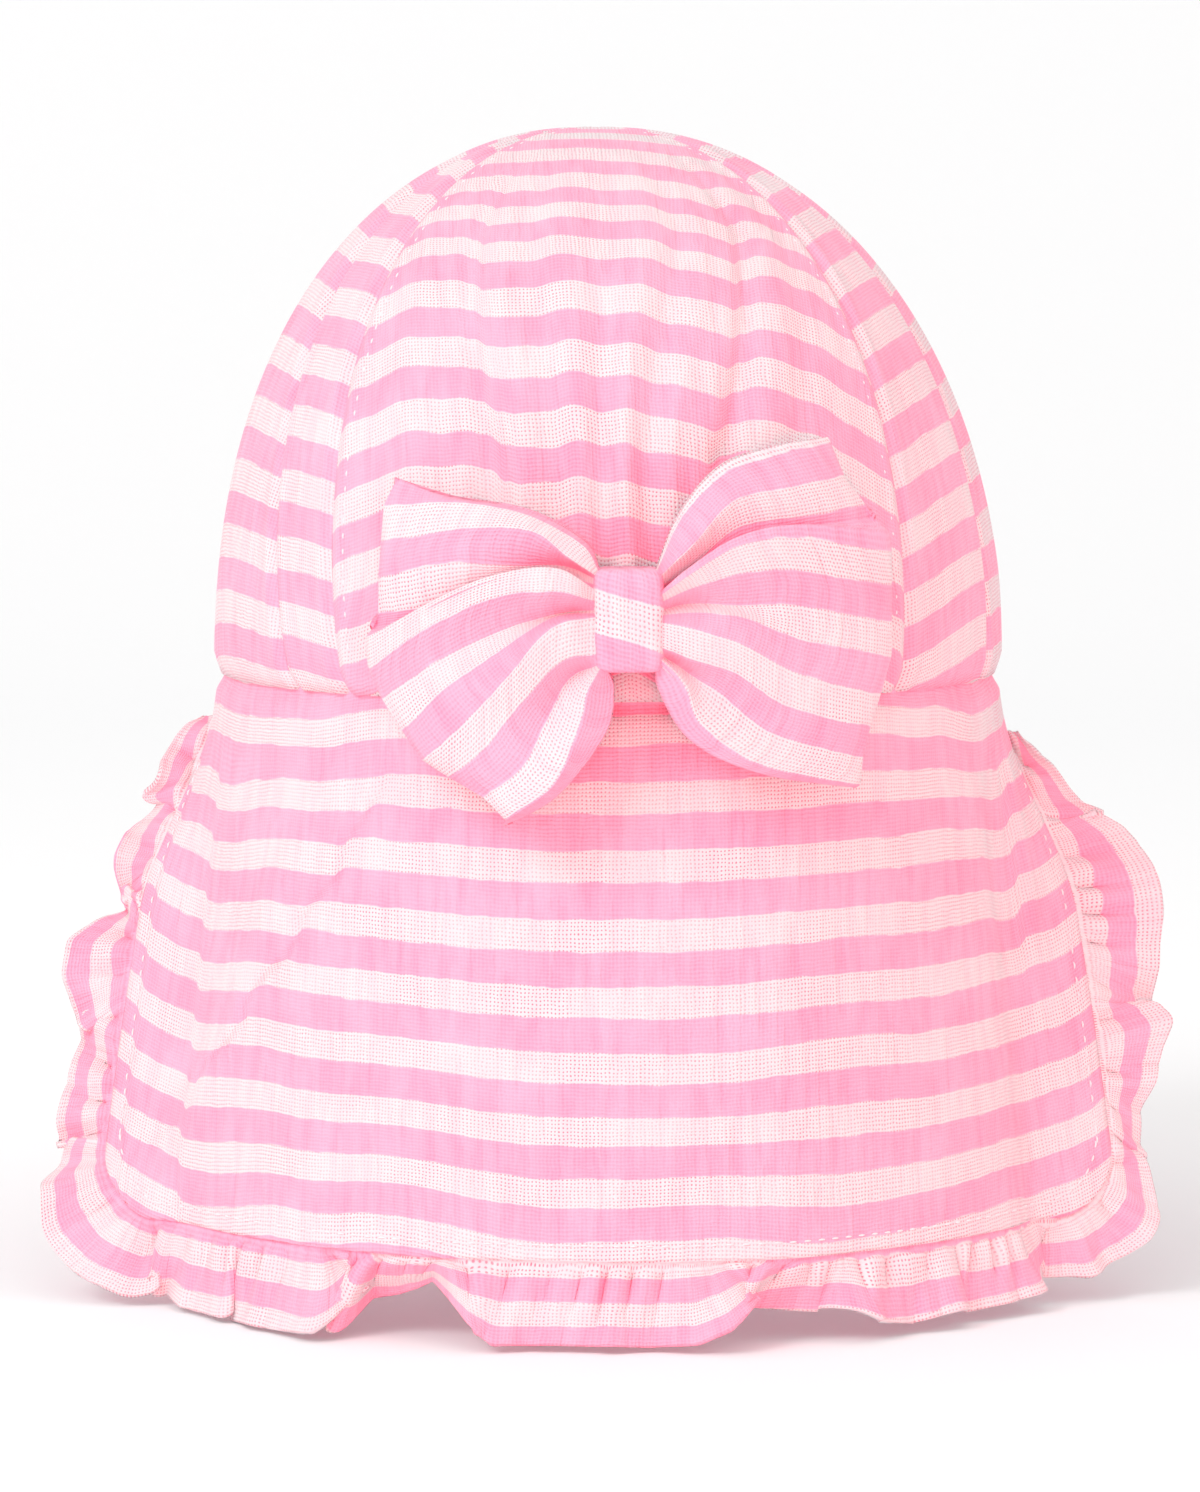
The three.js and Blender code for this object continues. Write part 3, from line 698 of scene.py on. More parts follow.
# How far the flap's stripes lie lower than on a flat sheet, in millimetres, at five levels down
SHIFT_LEVELS = {"rim": 0.08, "high": 0.25, "middle": 0.45, "low": 0.7, "hem": 0.93}
FLAP_SHIFTS = table(
    "u rim high middle low hem",
    (-1, 4.5, 3, 1.5, 1.5, 1.5),
    (-0.9, 3.5, 1, 1.5, 1.5, 1.5),
    (-0.75, 4, 1.5, 1, 0.5, 1.5),
    (-0.55, 3, 0.5, 1, 1, -0.5),
    (-0.35, -0.5, 0, 1, 0, -3),
    (-0.1, 0, 0.5, 1.5, 1.5, 0),
    (0.15, -0.5, 0.5, 1.5, 2, -0.5),
    (0.4, -1, 0.5, 1, 1, 2.5),
    (0.6, 1, 0.5, 2, 2.5, 2.5),
    (0.75, 4, 2, 2, 3, 2.5),
    (0.88, 3, 1.5, 2, 4, 4),
    (1, 1.5, 0, 1.5, 3.5, 3),
)
LEFT_CREASE = table(
    "down u",
    (0.0, -0.29), (0.13, -0.37), (0.31, -0.46), (0.43, -0.545), (0.6, -0.67), (0.75, -0.8), (1.0, -1.05),
)


def right_crease(down):
    """Where across the flap its upright crease at the right lies."""
    return mix(0.885, 0.865, down)


def flap_point(u, down):
    """A point of the flap's outer face: u from -1 to 1 across it, down from 0 at the rim to 1.

    Each level is an arc of an ellipse; both half axes grow with down^1.2 and the arc's turn narrows.
    """
    spread = np.maximum(0, down) ** 1.2
    turn = np.radians(mix(88, 66, down))
    tucked = 0.8 + 1.3 * (1 - smooth(0.0, 0.035, down))
    half_width = mix(HALF_WIDTH - tucked, FLAP_HALF_WIDTH, spread)
    reach = mix(HALF_DEPTH - tucked, FLAP_REACH, spread)
    lip = np.maximum(0, (np.abs(u) - LIP_START) / (1 - LIP_START)) ** 2 * smooth(0.06, 0.45, down)
    push = smooth(0.05, 0.4, down) * sum(
        row["depth"] * bell(u, mix(row["rim"], row["foot"], down), row["spread"]) for row in FLAP_FOLDS)
    crease = u - read_table(LEFT_CREASE, "down", "u", down)
    fade = smooth(0.06, 0.16, down) * (1 - smooth(0.66, 0.8, down))
    push = push + fade * (0.45 * bell(crease, -0.02, 0.018) - 0.35 * bell(crease, 0.006, 0.008))
    upright = u - right_crease(down)
    push = push + smooth(0.1, 0.2, down) * (1 - smooth(0.42, 0.55, down)) * (
        0.9 * bell(upright, 0.02, 0.018) - 1.0 * bell(upright, -0.008, 0.012))
    push = push * (1 - smooth(0.93, 1, np.abs(u)))
    x = (half_width + push) * np.sin(u * turn) + np.sign(u) * LIP * lip
    y = -(reach + push) * np.cos(u * turn) - LIP * lip
    return np.stack([x, y, -SEAM_GAP - FLAP_DROP * down + 0 * x], axis=-1)


HALF_LENGTH = (FLAP_HALF_WIDTH + FLAP_REACH) / 2 * math.radians(66)
CORNER_ACROSS, CORNER_DOWN = FLAP_CORNER / HALF_LENGTH, FLAP_CORNER / FLAP_DROP


def flap_hem(u):
    """Lowest share of the drop at u: 1, less a quarter circle in the corners."""
    past = np.clip((np.abs(u) - (1 - CORNER_ACROSS)) / CORNER_ACROSS, 0, 1)
    return 1 - CORNER_DOWN * (1 - np.sqrt(1 - past**2))


def stripe_shift(u, down):
    """The stripes' shift at a place of the flap: straight from level to level and from row to row."""
    place = np.interp(down, list(SHIFT_LEVELS.values()), np.arange(len(SHIFT_LEVELS)))
    return sum(read_table(FLAP_SHIFTS, "u", level, u) * np.clip(1 - np.abs(place - number), 0, 1)
               for number, level in enumerate(SHIFT_LEVELS))


def flap_cloth(u, down, points):
    """Millimetres across and down the flap's cloth, with the stripes' steps at the crease and the lip."""
    across = run_of(points, 0)
    across = across - across[len(across) // 2]
    row = run_of(points, 1) + FLAP_FIRST_STRIPE + FLAP_TOP * FLAP_DROP
    beyond = read_table(LEFT_CREASE, "down", "u", down) - u
    stretch = smooth(0.1, 0.22, down) * (1 - smooth(0.7, 0.95, down))
    row = row - LEFT_STEP * smooth(-0.004, 0.004, beyond) * stretch
    row = row - stripe_shift(u, down)
    hem = 1 - 3.0 / HALF_LENGTH
    left_steps = 1.4 * smooth(0.83, 0.842, -u) + 1.6 * smooth(hem - 0.01, hem, -u)
    left_steps = left_steps - 3.0 * smooth(0.6, 0.83, -u)
    row = row + left_steps * smooth(0.1, 0.2, down)
    upright = smooth(-0.005, 0.005, u - right_crease(down))
    stretch = smooth(0.12, 0.2, down) * (1 - smooth(0.45, 0.6, down))
    row = row + RIGHT_STEP * (upright - smooth(0.72, 0.86, u)) * stretch
    row = row - 1.6 * smooth(0.87, 0.98, u) * smooth(0.1, 0.2, down)
    return np.stack([across, row], axis=-1)


# %% The flap
u = np.sin((np.linspace(0, 1, 261) - 0.5) * np.pi * 0.98)[:, None] / math.sin(math.pi * 0.49)
u = mix(np.linspace(-1, 1, 261)[:, None], u, 0.6)
down = mix(FLAP_TOP, flap_hem(u), np.linspace(0, 1, 124)[None, :])
u = u + 0 * down
outer = flap_point(u, down)
face = facing_back(outer)
roll = np.minimum(1, (1 - np.abs(u)) * HALF_LENGTH / 1.5)
roll = 0.5 * (1 - np.sqrt(np.clip(1 - (1 - roll) ** 2, 0, 1)))
inner = outer - face * (FLAP_WALL - roll)[..., None]
cloth = flap_cloth(u, down, outer)
flap = cloth_wall("neck_flap_gauze", outer - face * roll[..., None], inner, cloth, flap_gauze)
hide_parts("neck_flap")


# %% [markdown]
# ## The ruffle
# A long strip, gathered to about two thirds of its length and sewn round the flap's sides and foot. Each
# gather starts as a small tuck at the seam and opens into a wave at the free edge. The strip's stripes
# run along it. The surface goes out from the flap's edge by the strip's width, lifted by the waves.

# %% Along the flap's edge
FOOT_END, CORNER_END = 0.52, 0.6  # along the flap's edge, from mid foot (0) to the rim (1)
RUFFLE_START = 0.05  # how far down the flap the ruffle begins


def flap_edge(p):
    """(u, down) of a place on the flap's edge: p from -1 at the left rim, 0 at mid foot, to 1."""
    q, side = np.abs(p), np.where(p < 0, -1.0, 1.0)
    turn = np.clip((q - FOOT_END) / (CORNER_END - FOOT_END), 0, 1) * np.pi / 2
    climbed = np.clip((q - CORNER_END) / (1 - CORNER_END), 0, 1.02)
    u = np.where(q <= FOOT_END, (1 - CORNER_ACROSS) * q / FOOT_END, 1 - CORNER_ACROSS * (1 - np.sin(turn)))
    rounding = 1 - CORNER_DOWN * (1 - np.cos(turn))
    return side * u, np.where(q <= CORNER_END, rounding, mix(1 - CORNER_DOWN, RUFFLE_START, climbed))


RUFFLE_WALL, RUFFLE_STAND = 1.2, 60.0
# Where the ruffle's free edge lies: how far out from the flap's edge, how far lifted off the flap's
# plane and how far slipped along the edge, in millimetres, at each crest, hollow and turn of a wave
RUFFLE_WAVES = table(
    "at reach lift lean",
    (-1, 1, 0, 0), (-0.983, 2, 0, 0.5), (-0.975, 4.5, 0, 0.5), (-0.955, 6, 2, 1), (-0.93, 6, 3, 1),
    (-0.915, 5, 2.5, 1), (-0.906, 5.5, 1, 1), (-0.898, 9, -1, 1), (-0.885, 9, 1, 1), (-0.87, 8, 3, 1),
    (-0.86, 6.5, 4, 1), (-0.845, 6, 4, 1), (-0.832, 6, 2, 0.5), (-0.819, 6, -4, -1.5),
    (-0.809, 4.5, -1, -1.5), (-0.797, 7.5, 3, 0.5), (-0.774, 12, 5, 1.5), (-0.742, 12.5, 4, 1.5),
    (-0.723, 11.5, 0, 1), (-0.71, 11, -4, -1.5), (-0.693, 9.5, -2, -1), (-0.64, 9, 3, 0.5),
    (-0.615, 10, 2, 1), (-0.599, 10.5, -4, -1.5), (-0.588, 13.5, 2, 0.5), (-0.578, 13, 4, 1),
    (-0.562, 16, 2.5, 0.5), (-0.541, 15.5, 4, -1), (-0.523, 15, 3, 0.5), (-0.513, 15.5, 0, -1),
    (-0.505, 13.5, -3, -1.5), (-0.458, 15.5, 2, 1.5), (-0.421, 15.5, -1, 1.5), (-0.343, 16, 2, 1.5),
    (-0.285, 16, 4, 1.5), (-0.263, 15.5, 3.5, 1.5), (-0.257, 13, 0, 1), (-0.252, 7.5, -5, -1.5),
    (-0.215, 6, -6, -1), (-0.175, 3.5, -4, -0.5), (-0.135, 10.5, 1, 1.5), (-0.122, 13, 3, 1),
    (-0.108, 15.5, 3, -0.5), (-0.05, 15, 0, -1.5), (0, 15, 1, -1.5), (0.04, 15, -1, -1.5),
    (0.08, 15, 1, -1), (0.11, 12.5, 4, 0.5), (0.127, 9.5, 2, -0.5), (0.138, 7.5, -3, -1.5),
    (0.165, 8, -5, 1.5), (0.21, 9.5, -4, 1.5), (0.224, 11, 1, -1), (0.252, 13, 3, -1.5),
    (0.3, 14, -1, 0.5), (0.348, 13, 2, -1.5), (0.375, 13.5, -2, 1), (0.42, 13.5, 1, 0.5),
    (0.463, 13, 3, -1.5), (0.505, 10.5, -2, 1), (0.52, 11, 0, 0.5), (0.531, 13, 2, 0.5),
    (0.542, 11, -2, 0.5), (0.56, 13, 3, 0.5), (0.574, 12.5, 1, 1), (0.586, 10.5, -2, -1),
    (0.6, 7.5, -4, -1), (0.634, 8, -2, -1.5), (0.653, 10.5, 2, -1), (0.684, 13, 1, -1.5),
    (0.704, 15, 3, -1.5), (0.725, 14, 0, -1.5), (0.75, 14, 5.5, -1.5), (0.79, 14, 9, -1.5),
    (0.82, 14, 9, -2), (0.85, 14, 8, -2), (0.868, 13, 6.5, -2), (0.88, 10.5, 5, -2), (0.89, 8, 4, -2),
    (0.9, 7.5, 3, -2), (0.925, 5.5, 3, -1.5), (0.94, 3.5, 2.5, -1.5), (0.955, 2, 2, -1.5), (1, 1, 0, 0),
)


# Where two waves meet, the end of one lies over the start of the next: slip is how far the free edge
# doubles back there, and dip how much of its reach the hollow between them loses
RUFFLE_FOLDS = table(
    "at slip dip",
    (-0.907, 3.0, 0.2), (-0.82, 4.0, 0.4), (-0.71, 4.5, 0.4), (-0.6, 2.4, 0.3), (-0.506, 3.0, 0.3),
    (-0.4, 3.0, 0.1), (-0.258, 5.5, 0.2), (-0.16, -3.0, 0.1), (0.133, 5.5, 0.2), (0.23, -2.5, 0.1),
    (0.37, 3.0, 0.1), (0.502, 3.0, 0.2), (0.6, 3.5, 0.3), (0.725, 5.0, 0.4), (0.888, 3.0, 0.2),
)
EDGE_LENGTH = 207.0
# The strip's stripes at its seam and at its free edge, in millimetres: pink from 0 to 5 and 10 to 15
RUFFLE_STRIPES = table(
    "at seam edge",
    (-1, -3, 8), (-0.91, -3, 9), (-0.88, -2.5, 10.5), (-0.82, -2.5, 10.5), (-0.79, 0.5, 16), (-0.71, 0.5, 16),
    (-0.65, 2, 17.5), (-0.5, 2.5, 19), (-0.36, 2.5, 19), (-0.27, 2, 17.5), (-0.2, -3, 13.5), (0, -3, 14),
    (0.13, -3, 14), (0.19, 4, 15.5), (0.45, 4, 17), (0.6, 5, 19), (0.8, 5.5, 19), (1, 5.5, 19),
)


def wave(column, p):
    """A column of the waves at p: straight between the rows, then rounded by a running mean."""
    fine = np.linspace(-1, 1, 1601)
    values = np.interp(fine, column_of(RUFFLE_WAVES, "at"), column_of(RUFFLE_WAVES, column))
    weights = np.hanning(13)[1:-1]
    values = np.convolve(np.pad(values, 5, mode="edge"), weights / weights.sum(), mode="valid")
    return np.interp(p, fine, values)


def edge_frame(p, stand=0.0):
    """Place, direction along, outward and away from the flap at p on its edge.

    At the two upper ends both directions turn round the edge by stand degrees, for what stands out there.
    """
    step = 4e-3
    base = flap_point(*flap_edge(p))
    along = unit(flap_point(*flap_edge(p + step)) - flap_point(*flap_edge(p - step)))
    u, down = flap_edge(p)
    across = flap_point(u + 1e-3, down) - flap_point(u - 1e-3, down)
    drop = flap_point(u, down + 1e-3) - flap_point(u, down - 1e-3)
    outward = unit(np.cross(drop, across))
    outward = np.where(np.sum(outward * base, axis=-1, keepdims=True) < 0, -outward, outward)
    away = unit(np.cross(along, outward))
    middle = np.array([0, -100.0, -50.0]) - base
    away = np.where(np.sum(away * middle, axis=-1, keepdims=True) > 0, -away, away)
    turn = np.radians(stand) * smooth(0.86, 0.95, np.abs(p))[..., None]
    stands = np.cos(turn) * outward - np.sin(turn) * away
    return base, along, stands, np.cos(turn) * away + np.sin(turn) * outward


def ruffle_point(p, w):
    """A point of the ruffle: p along the flap's edge, w from its seam (0) to its free edge (1).

    base + outward * lift * w^1.3 + away * reach * w + along * slip * w^0.8. Near a fold the slip gains
    -a e^(-a^2 / 2), a being the distance from it, so the edge runs back and the waves overlap. Tucks of
    six millimetres start at the seam, round on top and sharp between, and fade towards the free edge;
    wider pleats run right across the strip, deepest round the flap's two lower corners.
    """
    base, along, outward, away = edge_frame(p, RUFFLE_STAND)
    slip, fold_lift, dip = wave("lean", p), 0.0, 0.0
    for fold in RUFFLE_FOLDS:
        a = (p - fold["at"]) / (0.95 * abs(fold["slip"]) / EDGE_LENGTH)
        swing = -a * np.exp(0.5 - a**2 / 2)
        slip = slip + fold["slip"] * swing
        fold_lift = fold_lift + 0.45 * abs(fold["slip"]) * swing * np.sign(fold["slip"])
        dip = dip + fold["dip"] * np.exp(-(a / 0.7) ** 2)
    there = p + slip / EDGE_LENGTH
    reach = wave("reach", there) * (1 - dip)
    phase = p * 195 + 2.2 * np.sin(p * 31) + 1.5 * w
    tucks = 2 * np.abs(np.sin(phase / 2)) ** 0.9 - 1.2
    tuck = 1.45 * tucks * (0.7 + 0.3 * np.sin(p * 47 + 1.0)) * np.exp(-((w - 0.22) / 0.36) ** 2)
    flutter = 0.5 * np.sin(p * 88 + 2.0 * np.sin(p * 13)) * w**2
    pleats = np.abs(np.sin(p * 74 + 1.8 * np.sin(p * 19) + 0.6 * w)) ** 0.8 - 0.6
    flutter = flutter + 2.0 * pleats * w**0.7 * (0.25 + 0.75 * bell(np.abs(p), 0.54, 0.13))
    rise = (wave("lift", there) + fold_lift) * w**1.3 - FLAP_WALL * 0.6
    rise = rise + tuck * smooth(0.05, 0.12, w) + flutter
    out = mix(-1.0, 0.3, smooth(0, 0.1, w)) + reach * w
    return base + outward * rise[..., None] + away * out[..., None] + along * (slip * w**0.8)[..., None]


# %% The ruffle
p = np.linspace(-0.985, 0.97, 1300)[:, None]
w = np.linspace(0, 1, 30)[None, :]
p, w = p + 0 * w, w + 0 * p
middle = ruffle_point(p, w)
face = normals_of(middle)
half = RUFFLE_WALL / 2 * (0.75 + 0.25 * smooth(0.86, 0.92, w))
outer, inner = middle + face * half[..., None], middle - face * half[..., None]
along = np.repeat(run_of(middle, 0)[:, -1:], w.shape[1], axis=1)
seam_row, edge_row = (read_table(RUFFLE_STRIPES, "at", side, p) for side in ("seam", "edge"))
cloth = np.stack([along, mix(seam_row, edge_row, w)], axis=-1)
ruffle = cloth_wall("flap_ruffle_gauze", outer, inner, cloth, ruffle_gauze)
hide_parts("flap_ruffle")

# %% [markdown]
# Topstitching runs round the flap too, about three millimetres inside its edge.

# %% Stitches round the flap
STITCH_INSET = 2.9
p = np.linspace(-0.95, 0.95, 1400)
outward = edge_frame(p)[2]
edge_u, edge_down = flap_edge(p)
inside_u = edge_u - np.sign(edge_u) * np.where(np.abs(p) > FOOT_END, STITCH_INSET / HALF_LENGTH, 0)
inside_down = edge_down - np.where(np.abs(p) <= CORNER_END, STITCH_INSET / FLAP_DROP, 0)
path = flap_point(inside_u, inside_down)
flap_stitches = stitch_row("flap_stitches", path + outward * 0.05, outward)

# %% [markdown]
# ## The bow
# Each loop is a strip folded back on itself and pinched in the middle, so pleats run from the knot and
# fade outwards. The loop's grid runs from the knot along the front, round the folded end and back
# behind, and from its top edge to its lower one. The pleats are ridges and valleys across the strip.

# %% The rays of each loop
KNOT_HALF_WIDTH, KNOT_HALF_HEIGHT, KNOT_DEPTH, KNOT_SIDE, KNOT_RISE = 6.8, 9.5, 15.0, 3.6, 16.0
BOW_WALL, BOW_PUFF, BOW_PINCH, BOW_CLEARANCE = 1.1, 7.0, 5.0, 2.1
# Each ray runs from the knot to the folded end through five places. stripe counts the woven pairs of
# stripes passed (a pink one starts at each whole number); near and far are how far the ray stands
# proud of the loop's plump body beside the knot and at the end. Where a ray lies above the one before
# it, the cloth folds over itself.
LEFT_RAYS = table(
    "stripe near far x z",
    (0.12, -1.5, -1, (-1.5, -4.5, -15, -30, -39), (25, 30.5, 36, 38.5, 41.5)),
    (0.5, -0.5, -0.3, (-1.5, -5, -15.5, -28, -41.5), (24.5, 30, 35.5, 37.5, 36.5)),
    (1, 0.6, 0.6, (-2, -8, -14.5, -27, -42), (24, 28, 32.5, 32.5, 30)),
    (1.5, -2.4, 0.2, (-2, -8.5, -18, -29, -42.5), (23.5, 26, 26, 26.5, 23.5)),
    (2, -3, -0.8, (-2, -9, -20, -31, -42.5), (22.5, 24, 23, 19, 16.5)),
    (2.3, -3, -1.5, (-2, -9, -20, -31, -43.5), (21.5, 22, 20, 16.5, 14)),
    (2.5, 1.8, 1.2, (-2, -9.5, -20, -31, -45), (21.5, 26, 25, 20.5, 12)),
    (3, 2.4, 1.2, (-2, -9.5, -20.5, -32.5, -44.5), (19.5, 21.5, 20.5, 15, 6.5)),
    (3.5, -1.8, -0.4, (-2, -10, -20, -31, -42), (18, 17, 14, 8.5, 1)),
    (4, -1, -0.4, (-2, -10.5, -20, -31, -38), (17.5, 16.5, 10.5, 2.5, -5)),
    (4.5, 1.8, 0.8, (-2, -10.5, -18.5, -27, -34.5), (17, 15, 6, -3.5, -10)),
    (5, 0.6, 0.2, (-2, -9, -16, -22.5, -29.5), (10, 8.5, 1, -7, -13)),
    (5.5, -2.4, -0.8, (-2, -7.5, -11.5, -16, -23), (8, 5, -2.5, -10.5, -16.5)),
    (6, 1.6, 0.8, (-1.5, -4, -5.5, -10, -19), (7.5, 3, -3.5, -13.5, -20.5)),
    (6.45, -1.5, -1.2, (-0.5, 1, -0.5, -9, -18.5), (7.5, 3.5, -4.5, -15.5, -21.5)),
)
RIGHT_RAYS = table(
    "stripe near far x z",
    (-0.1, -1.5, -0.8, (8.5, 13, 20.5, 30.5, 40.5), (25, 35.5, 44, 47.5, 49)),
    (0, -0.9, -0.4, (8.5, 13.5, 21, 30.5, 41), (24.5, 35, 42.5, 46, 48)),
    (0.5, 0.8, 0.5, (8.5, 15, 23, 32.5, 43.5), (23.5, 29.5, 38, 40, 42)),
    (1, -2, -0.8, (8.5, 15, 23.5, 35, 47.5), (22, 25.5, 32.5, 34.5, 36.5)),
    (1.2, -3, -1.5, (8.5, 14, 23.5, 35, 49), (21, 23.5, 30, 32.5, 34)),
    (1.35, 1.8, 1, (8.5, 14, 23.5, 35, 52), (20.5, 25.5, 31.5, 33.5, 31.5)),
    (1.5, 2.2, 1.2, (8.5, 14.5, 24, 35, 52.5), (20, 24.5, 30, 31, 28)),
    (2, 0.8, 0.6, (8.5, 15, 24, 35, 52.5), (19, 22, 24.5, 25, 21.5)),
    (2.5, -2.2, -0.4, (8.5, 15, 24, 35, 52.5), (17.5, 19, 18.5, 18.5, 14.5)),
    (3, -0.2, 0.2, (8.5, 16.5, 25, 35, 52.5), (17, 17.5, 16.5, 12.5, 8.5)),
    (3.5, 1.6, 0.6, (8.5, 16.5, 25, 35, 50.5), (16, 14.5, 11.5, 6, 1.5)),
    (4, 0.2, 0.2, (8.5, 15, 23, 33, 48.5), (11.5, 9, 6.5, 0, -4.5)),
    (4.5, -2.2, -0.5, (8.5, 15, 20.5, 30.5, 47), (10.5, 6, 2.5, -5, -10)),
    (5, 1.4, 0.6, (8.5, 14, 17, 27, 46.5), (10, 4.5, -3, -10, -15)),
    (5.25, -1.5, -1, (8.5, 9, 15, 27.5, 45.5), (9.5, 3.5, -6, -12, -15.5)),
)


# %% A loop's surface
def bow_back(x, z):
    """How far behind the origin the bow's back lies: clear of the crown above and the flap below."""
    below = np.maximum(0, -z) / FLAP_DROP
    lean = (FLAP_REACH - HALF_DEPTH) * below**1.2 + 2 * smooth(0, 0.2, below)
    above = np.clip(z / HEIGHT, 0, 1)
    narrowing = 1 - (1 - above**ROUNDNESS) ** (1 / ROUNDNESS)
    sideways = 1 - np.sqrt(np.maximum(0, 1 - (x / HALF_WIDTH) ** 2))
    return HALF_DEPTH + BOW_CLEARANCE + lean - 0.6 * HALF_DEPTH * (narrowing + sideways)


def curve_through(values, s):
    """Values at s from 0 to 1 between evenly spaced ones: the cubic whose slope at each is the mean."""
    ends = (2 * values[:, :1] - values[:, 1:2], 2 * values[:, -1:] - values[:, -2:-1])
    padded = np.concatenate([ends[0], values, ends[1]], axis=1)
    at = s * (values.shape[1] - 1)
    i = np.clip(at.astype(int), 0, values.shape[1] - 2)
    f = at - i
    a, b, c, d = (padded[:, i + n] for n in range(4))
    return b + 0.5 * f * (c - a + f * (2 * a - 5 * b + 4 * c - d + f * (3 * (b - c) + d - a)))


def between_rays(values, h):
    """Rows of values, one per ray, read at h from 0 to 1 across the rays, rounded at each of them."""
    at = h * (len(values) - 1)
    i = np.clip(at.astype(int), 0, len(values) - 2)
    f = at - i
    return mix(values[i], values[i + 1], mix(f, smooth(0, 1, f), 0.35)[:, None])


def rounded(grid, passes=2):
    """The grid with each column replaced by a mean of itself and its neighbours, the ends kept."""
    for _ in range(passes):
        inside = (grid[:, :-2] + 2 * grid[:, 1:-1] + grid[:, 2:]) / 4
        grid = np.concatenate([grid[:, :1], inside, grid[:, -1:]], axis=1)
    return grid


def loop_surface(rays, way, h):
    """Points and stripe row of a loop: way from 1 at the knot, 0 at the folded end, to -1 behind.

    Out is 1 - |way|^1.6. The front and the back share their place in the bow's plane and stand half the
    depth before and behind it; the front adds how proud its rays are.
    """
    out = 1 - np.abs(way) ** 1.6
    facing = np.sign(way) * (1 - (1 - np.abs(way)) ** 3)
    x, z = (rounded(between_rays(curve_through(column_of(rays, side), out), h).T) for side in ("x", "z"))
    near, far, stripe = (between_rays(column_of(rays, name)[:, None], h)[:, 0]
                         for name in ("near", "far", "stripe"))
    out, facing = out[:, None], facing[:, None]
    plump = smooth(0, 0.5, out) * mix(0.45, 1, np.sin(np.pi * h)[None, :])
    proud = 1.35 * mix(near[None, :], far[None, :], smooth(0.25, 0.85, out)) * smooth(-0.02, 0.16, out)
    proud = rounded(proud * smooth(0, 0.2, facing), 3)
    middle = bow_back(x, z) + BOW_PUFF
    depth = facing * mix(BOW_PINCH, BOW_PUFF, plump) + proud
    points = np.stack([x, -(middle + depth), z], axis=-1)
    return points, stripe[None, :] * BOW_PERIOD + 0 * x


# %% Both loops
way = np.linspace(1, -1, 121)
h = np.linspace(0, 1, 169)
for rays, name in ((LEFT_RAYS, "bow_loop_left"), (RIGHT_RAYS, "bow_loop_right")):
    outer, row = loop_surface(rays, way, h)
    face = facing_back(outer)
    cloth = np.stack([run_of(outer, 0), row], axis=-1)
    loop = cloth_wall(name + "_gauze", outer, outer - face * BOW_WALL, cloth, bow_gauze)
    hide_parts(name)

# %% [markdown]
# The knot is a short band wrapped round the pinched middle. It is a pillow whose section is a rounded square,
# with its stripes slanting a little.

# %% The knot
KNOT_GIRTH = 44.0
# The pink stripe over the knot ends this far above its middle and slants; its cloth is pulled taut
KNOT_STRIPE, KNOT_SLANT, KNOT_STRETCH = 4.2, 0.29, 0.765
knot_rise = 2 / math.pi * math.asin((KNOT_RISE / HEIGHT) ** (ROUNDNESS / 2))
knot_back = SEAM_GAP - float(crown_point(np.degrees(np.arcsin(KNOT_SIDE / HALF_WIDTH)), knot_rise)[1])
turn = np.linspace(0, 2 * np.pi, 97)[:-1][:, None]
level = np.sin(np.linspace(-1, 1, 61) * np.pi / 2 * 0.97)[None, :]
round_off = (1 - np.abs(level) ** 9) ** (1 / 9)
square = round_off * (np.abs(np.cos(turn)) ** 5 + np.abs(np.sin(turn)) ** 5) ** -0.2
wrinkle = 0.25 * np.sin(level * 9 + np.cos(turn) * 2.5)
points = np.stack([
    KNOT_SIDE + (KNOT_HALF_WIDTH - 0.2) * square * np.cos(turn),
    -knot_back - KNOT_DEPTH / 2 * (1 + square * np.sin(turn)) - wrinkle * (np.sin(turn) > 0) * np.sin(turn),
    KNOT_RISE + KNOT_HALF_HEIGHT * level + 0.09 * KNOT_HALF_WIDTH * -np.cos(turn) * (1 - level**2),
], axis=-1)
rows, columns = points.shape[:2]
starts = np.arange(rows) * columns
ring, after = (s[:, None] + np.arange(columns - 1) for s in (starts, np.roll(starts, -1)))
walls = np.stack([ring, after, after + 1, ring + 1], axis=-1).reshape(-1, 4)
flat = np.concatenate([points.reshape(-1, 3), [points[:, 0].mean(axis=0), points[:, -1].mean(axis=0)]])
first, second, third = starts[::2], starts[1::2], np.roll(starts[::2], -1)
foot = np.stack([first, 0 * first + rows * columns, third, second], axis=1)
top = np.stack([first, second, third, 0 * first + rows * columns + 2 - columns], axis=1) + columns - 1
quads = np.concatenate([walls, foot, top])
if signed_volume(flat, quads) < 0:
    quads = quads[:, ::-1]
across = turn / (2 * np.pi) * KNOT_GIRTH + 0 * level
sideways, upward = points[..., 0] - KNOT_SIDE, points[..., 2] - KNOT_RISE
row = 0.5 * BOW_PERIOD + KNOT_STRETCH * (KNOT_STRIPE - KNOT_SLANT * sideways - upward)
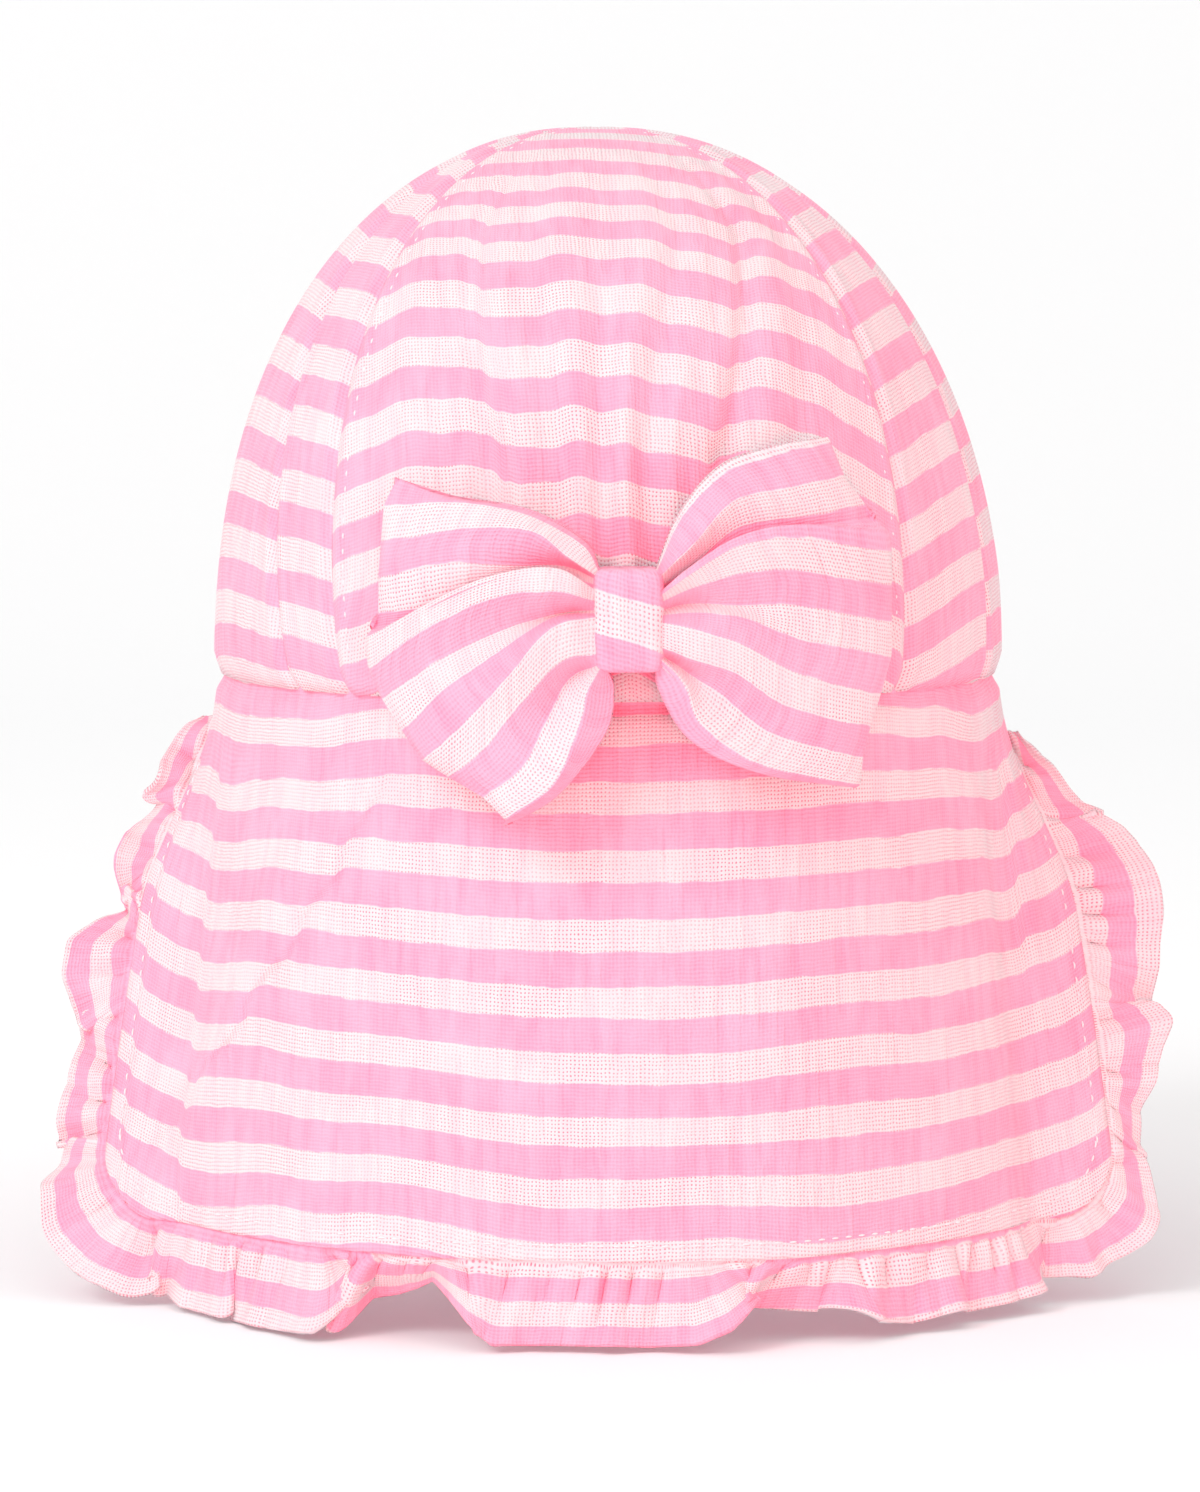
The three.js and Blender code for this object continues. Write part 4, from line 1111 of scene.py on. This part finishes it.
cloth = np.concatenate([np.stack([across, row], axis=-1).reshape(-1, 2), [[0, 13.0], [0, 2.0]]])
knot = cloth_mesh("bow_knot_gauze", flat, quads, cloth, bow_gauze)
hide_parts("bow_knot")

# %% [markdown]
# ## Floor
# A pale floor lies just under the ruffle's lowest point. It is a flat sheet that bends up behind the hat.

# %% The floor
FLOOR_FRONT, FLOOR_END, BEND_SIZE, HALF_FLOOR = -2.0, 1.4, 0.8, 3.0  # metres
FLAT_SHARE, BENT_SHARE, WALL_CLIMB = 0.62, 0.82, 8.0
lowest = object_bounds()[0][2]
run = np.linspace(0, 1, 60)
flat = run < FLAT_SHARE
bend = np.clip((run - FLAT_SHARE) / (BENT_SHARE - FLAT_SHARE), 0, 1) * np.pi / 2
depth = np.where(flat, mix(FLOOR_FRONT, FLOOR_END, run / FLAT_SHARE), FLOOR_END + BEND_SIZE * np.sin(bend))
climb = BEND_SIZE * (1 - np.cos(bend)) + np.maximum(0, run - BENT_SHARE) * WALL_CLIMB
height = lowest - 0.0003 + np.where(flat, 0, climb)
sideways = np.linspace(-HALF_FLOOR, HALF_FLOOR, 13)
floor_points = np.stack(np.broadcast_arrays(sideways[:, None], depth[None, :], height[None, :]), axis=-1)
floor_mesh = bpy.data.meshes.new("pale_floor")
floor_mesh.from_pydata(floor_points.reshape(-1, 3), [], grid_quads(len(sideways), len(run)).tolist())
floor_mesh.polygons.foreach_set("use_smooth", np.ones(len(floor_mesh.polygons), bool))
floor = bpy.data.objects.new("pale_floor", floor_mesh)
bpy.context.scene.collection.objects.link(floor)
paper = bpy.data.materials.new("pale_paper")
paper.use_nodes = True
paper_shader = paper.node_tree.nodes["Principled BSDF"]
paper_shader.inputs["Base Color"].default_value = (0.93, 0.955, 0.97, 1)
paper_shader.inputs["Roughness"].default_value = 0.9
floor_mesh.materials.append(paper)
all_but_floor = bpy.data.collections.new("lit_by_rose_lamps")
all_but_floor.objects.link(floor)
all_but_floor.collection_objects[0].light_linking.link_state = "EXCLUDE"
for lamp in rose_lamps:
    lamp.light_linking.receiver_collection = all_but_floor
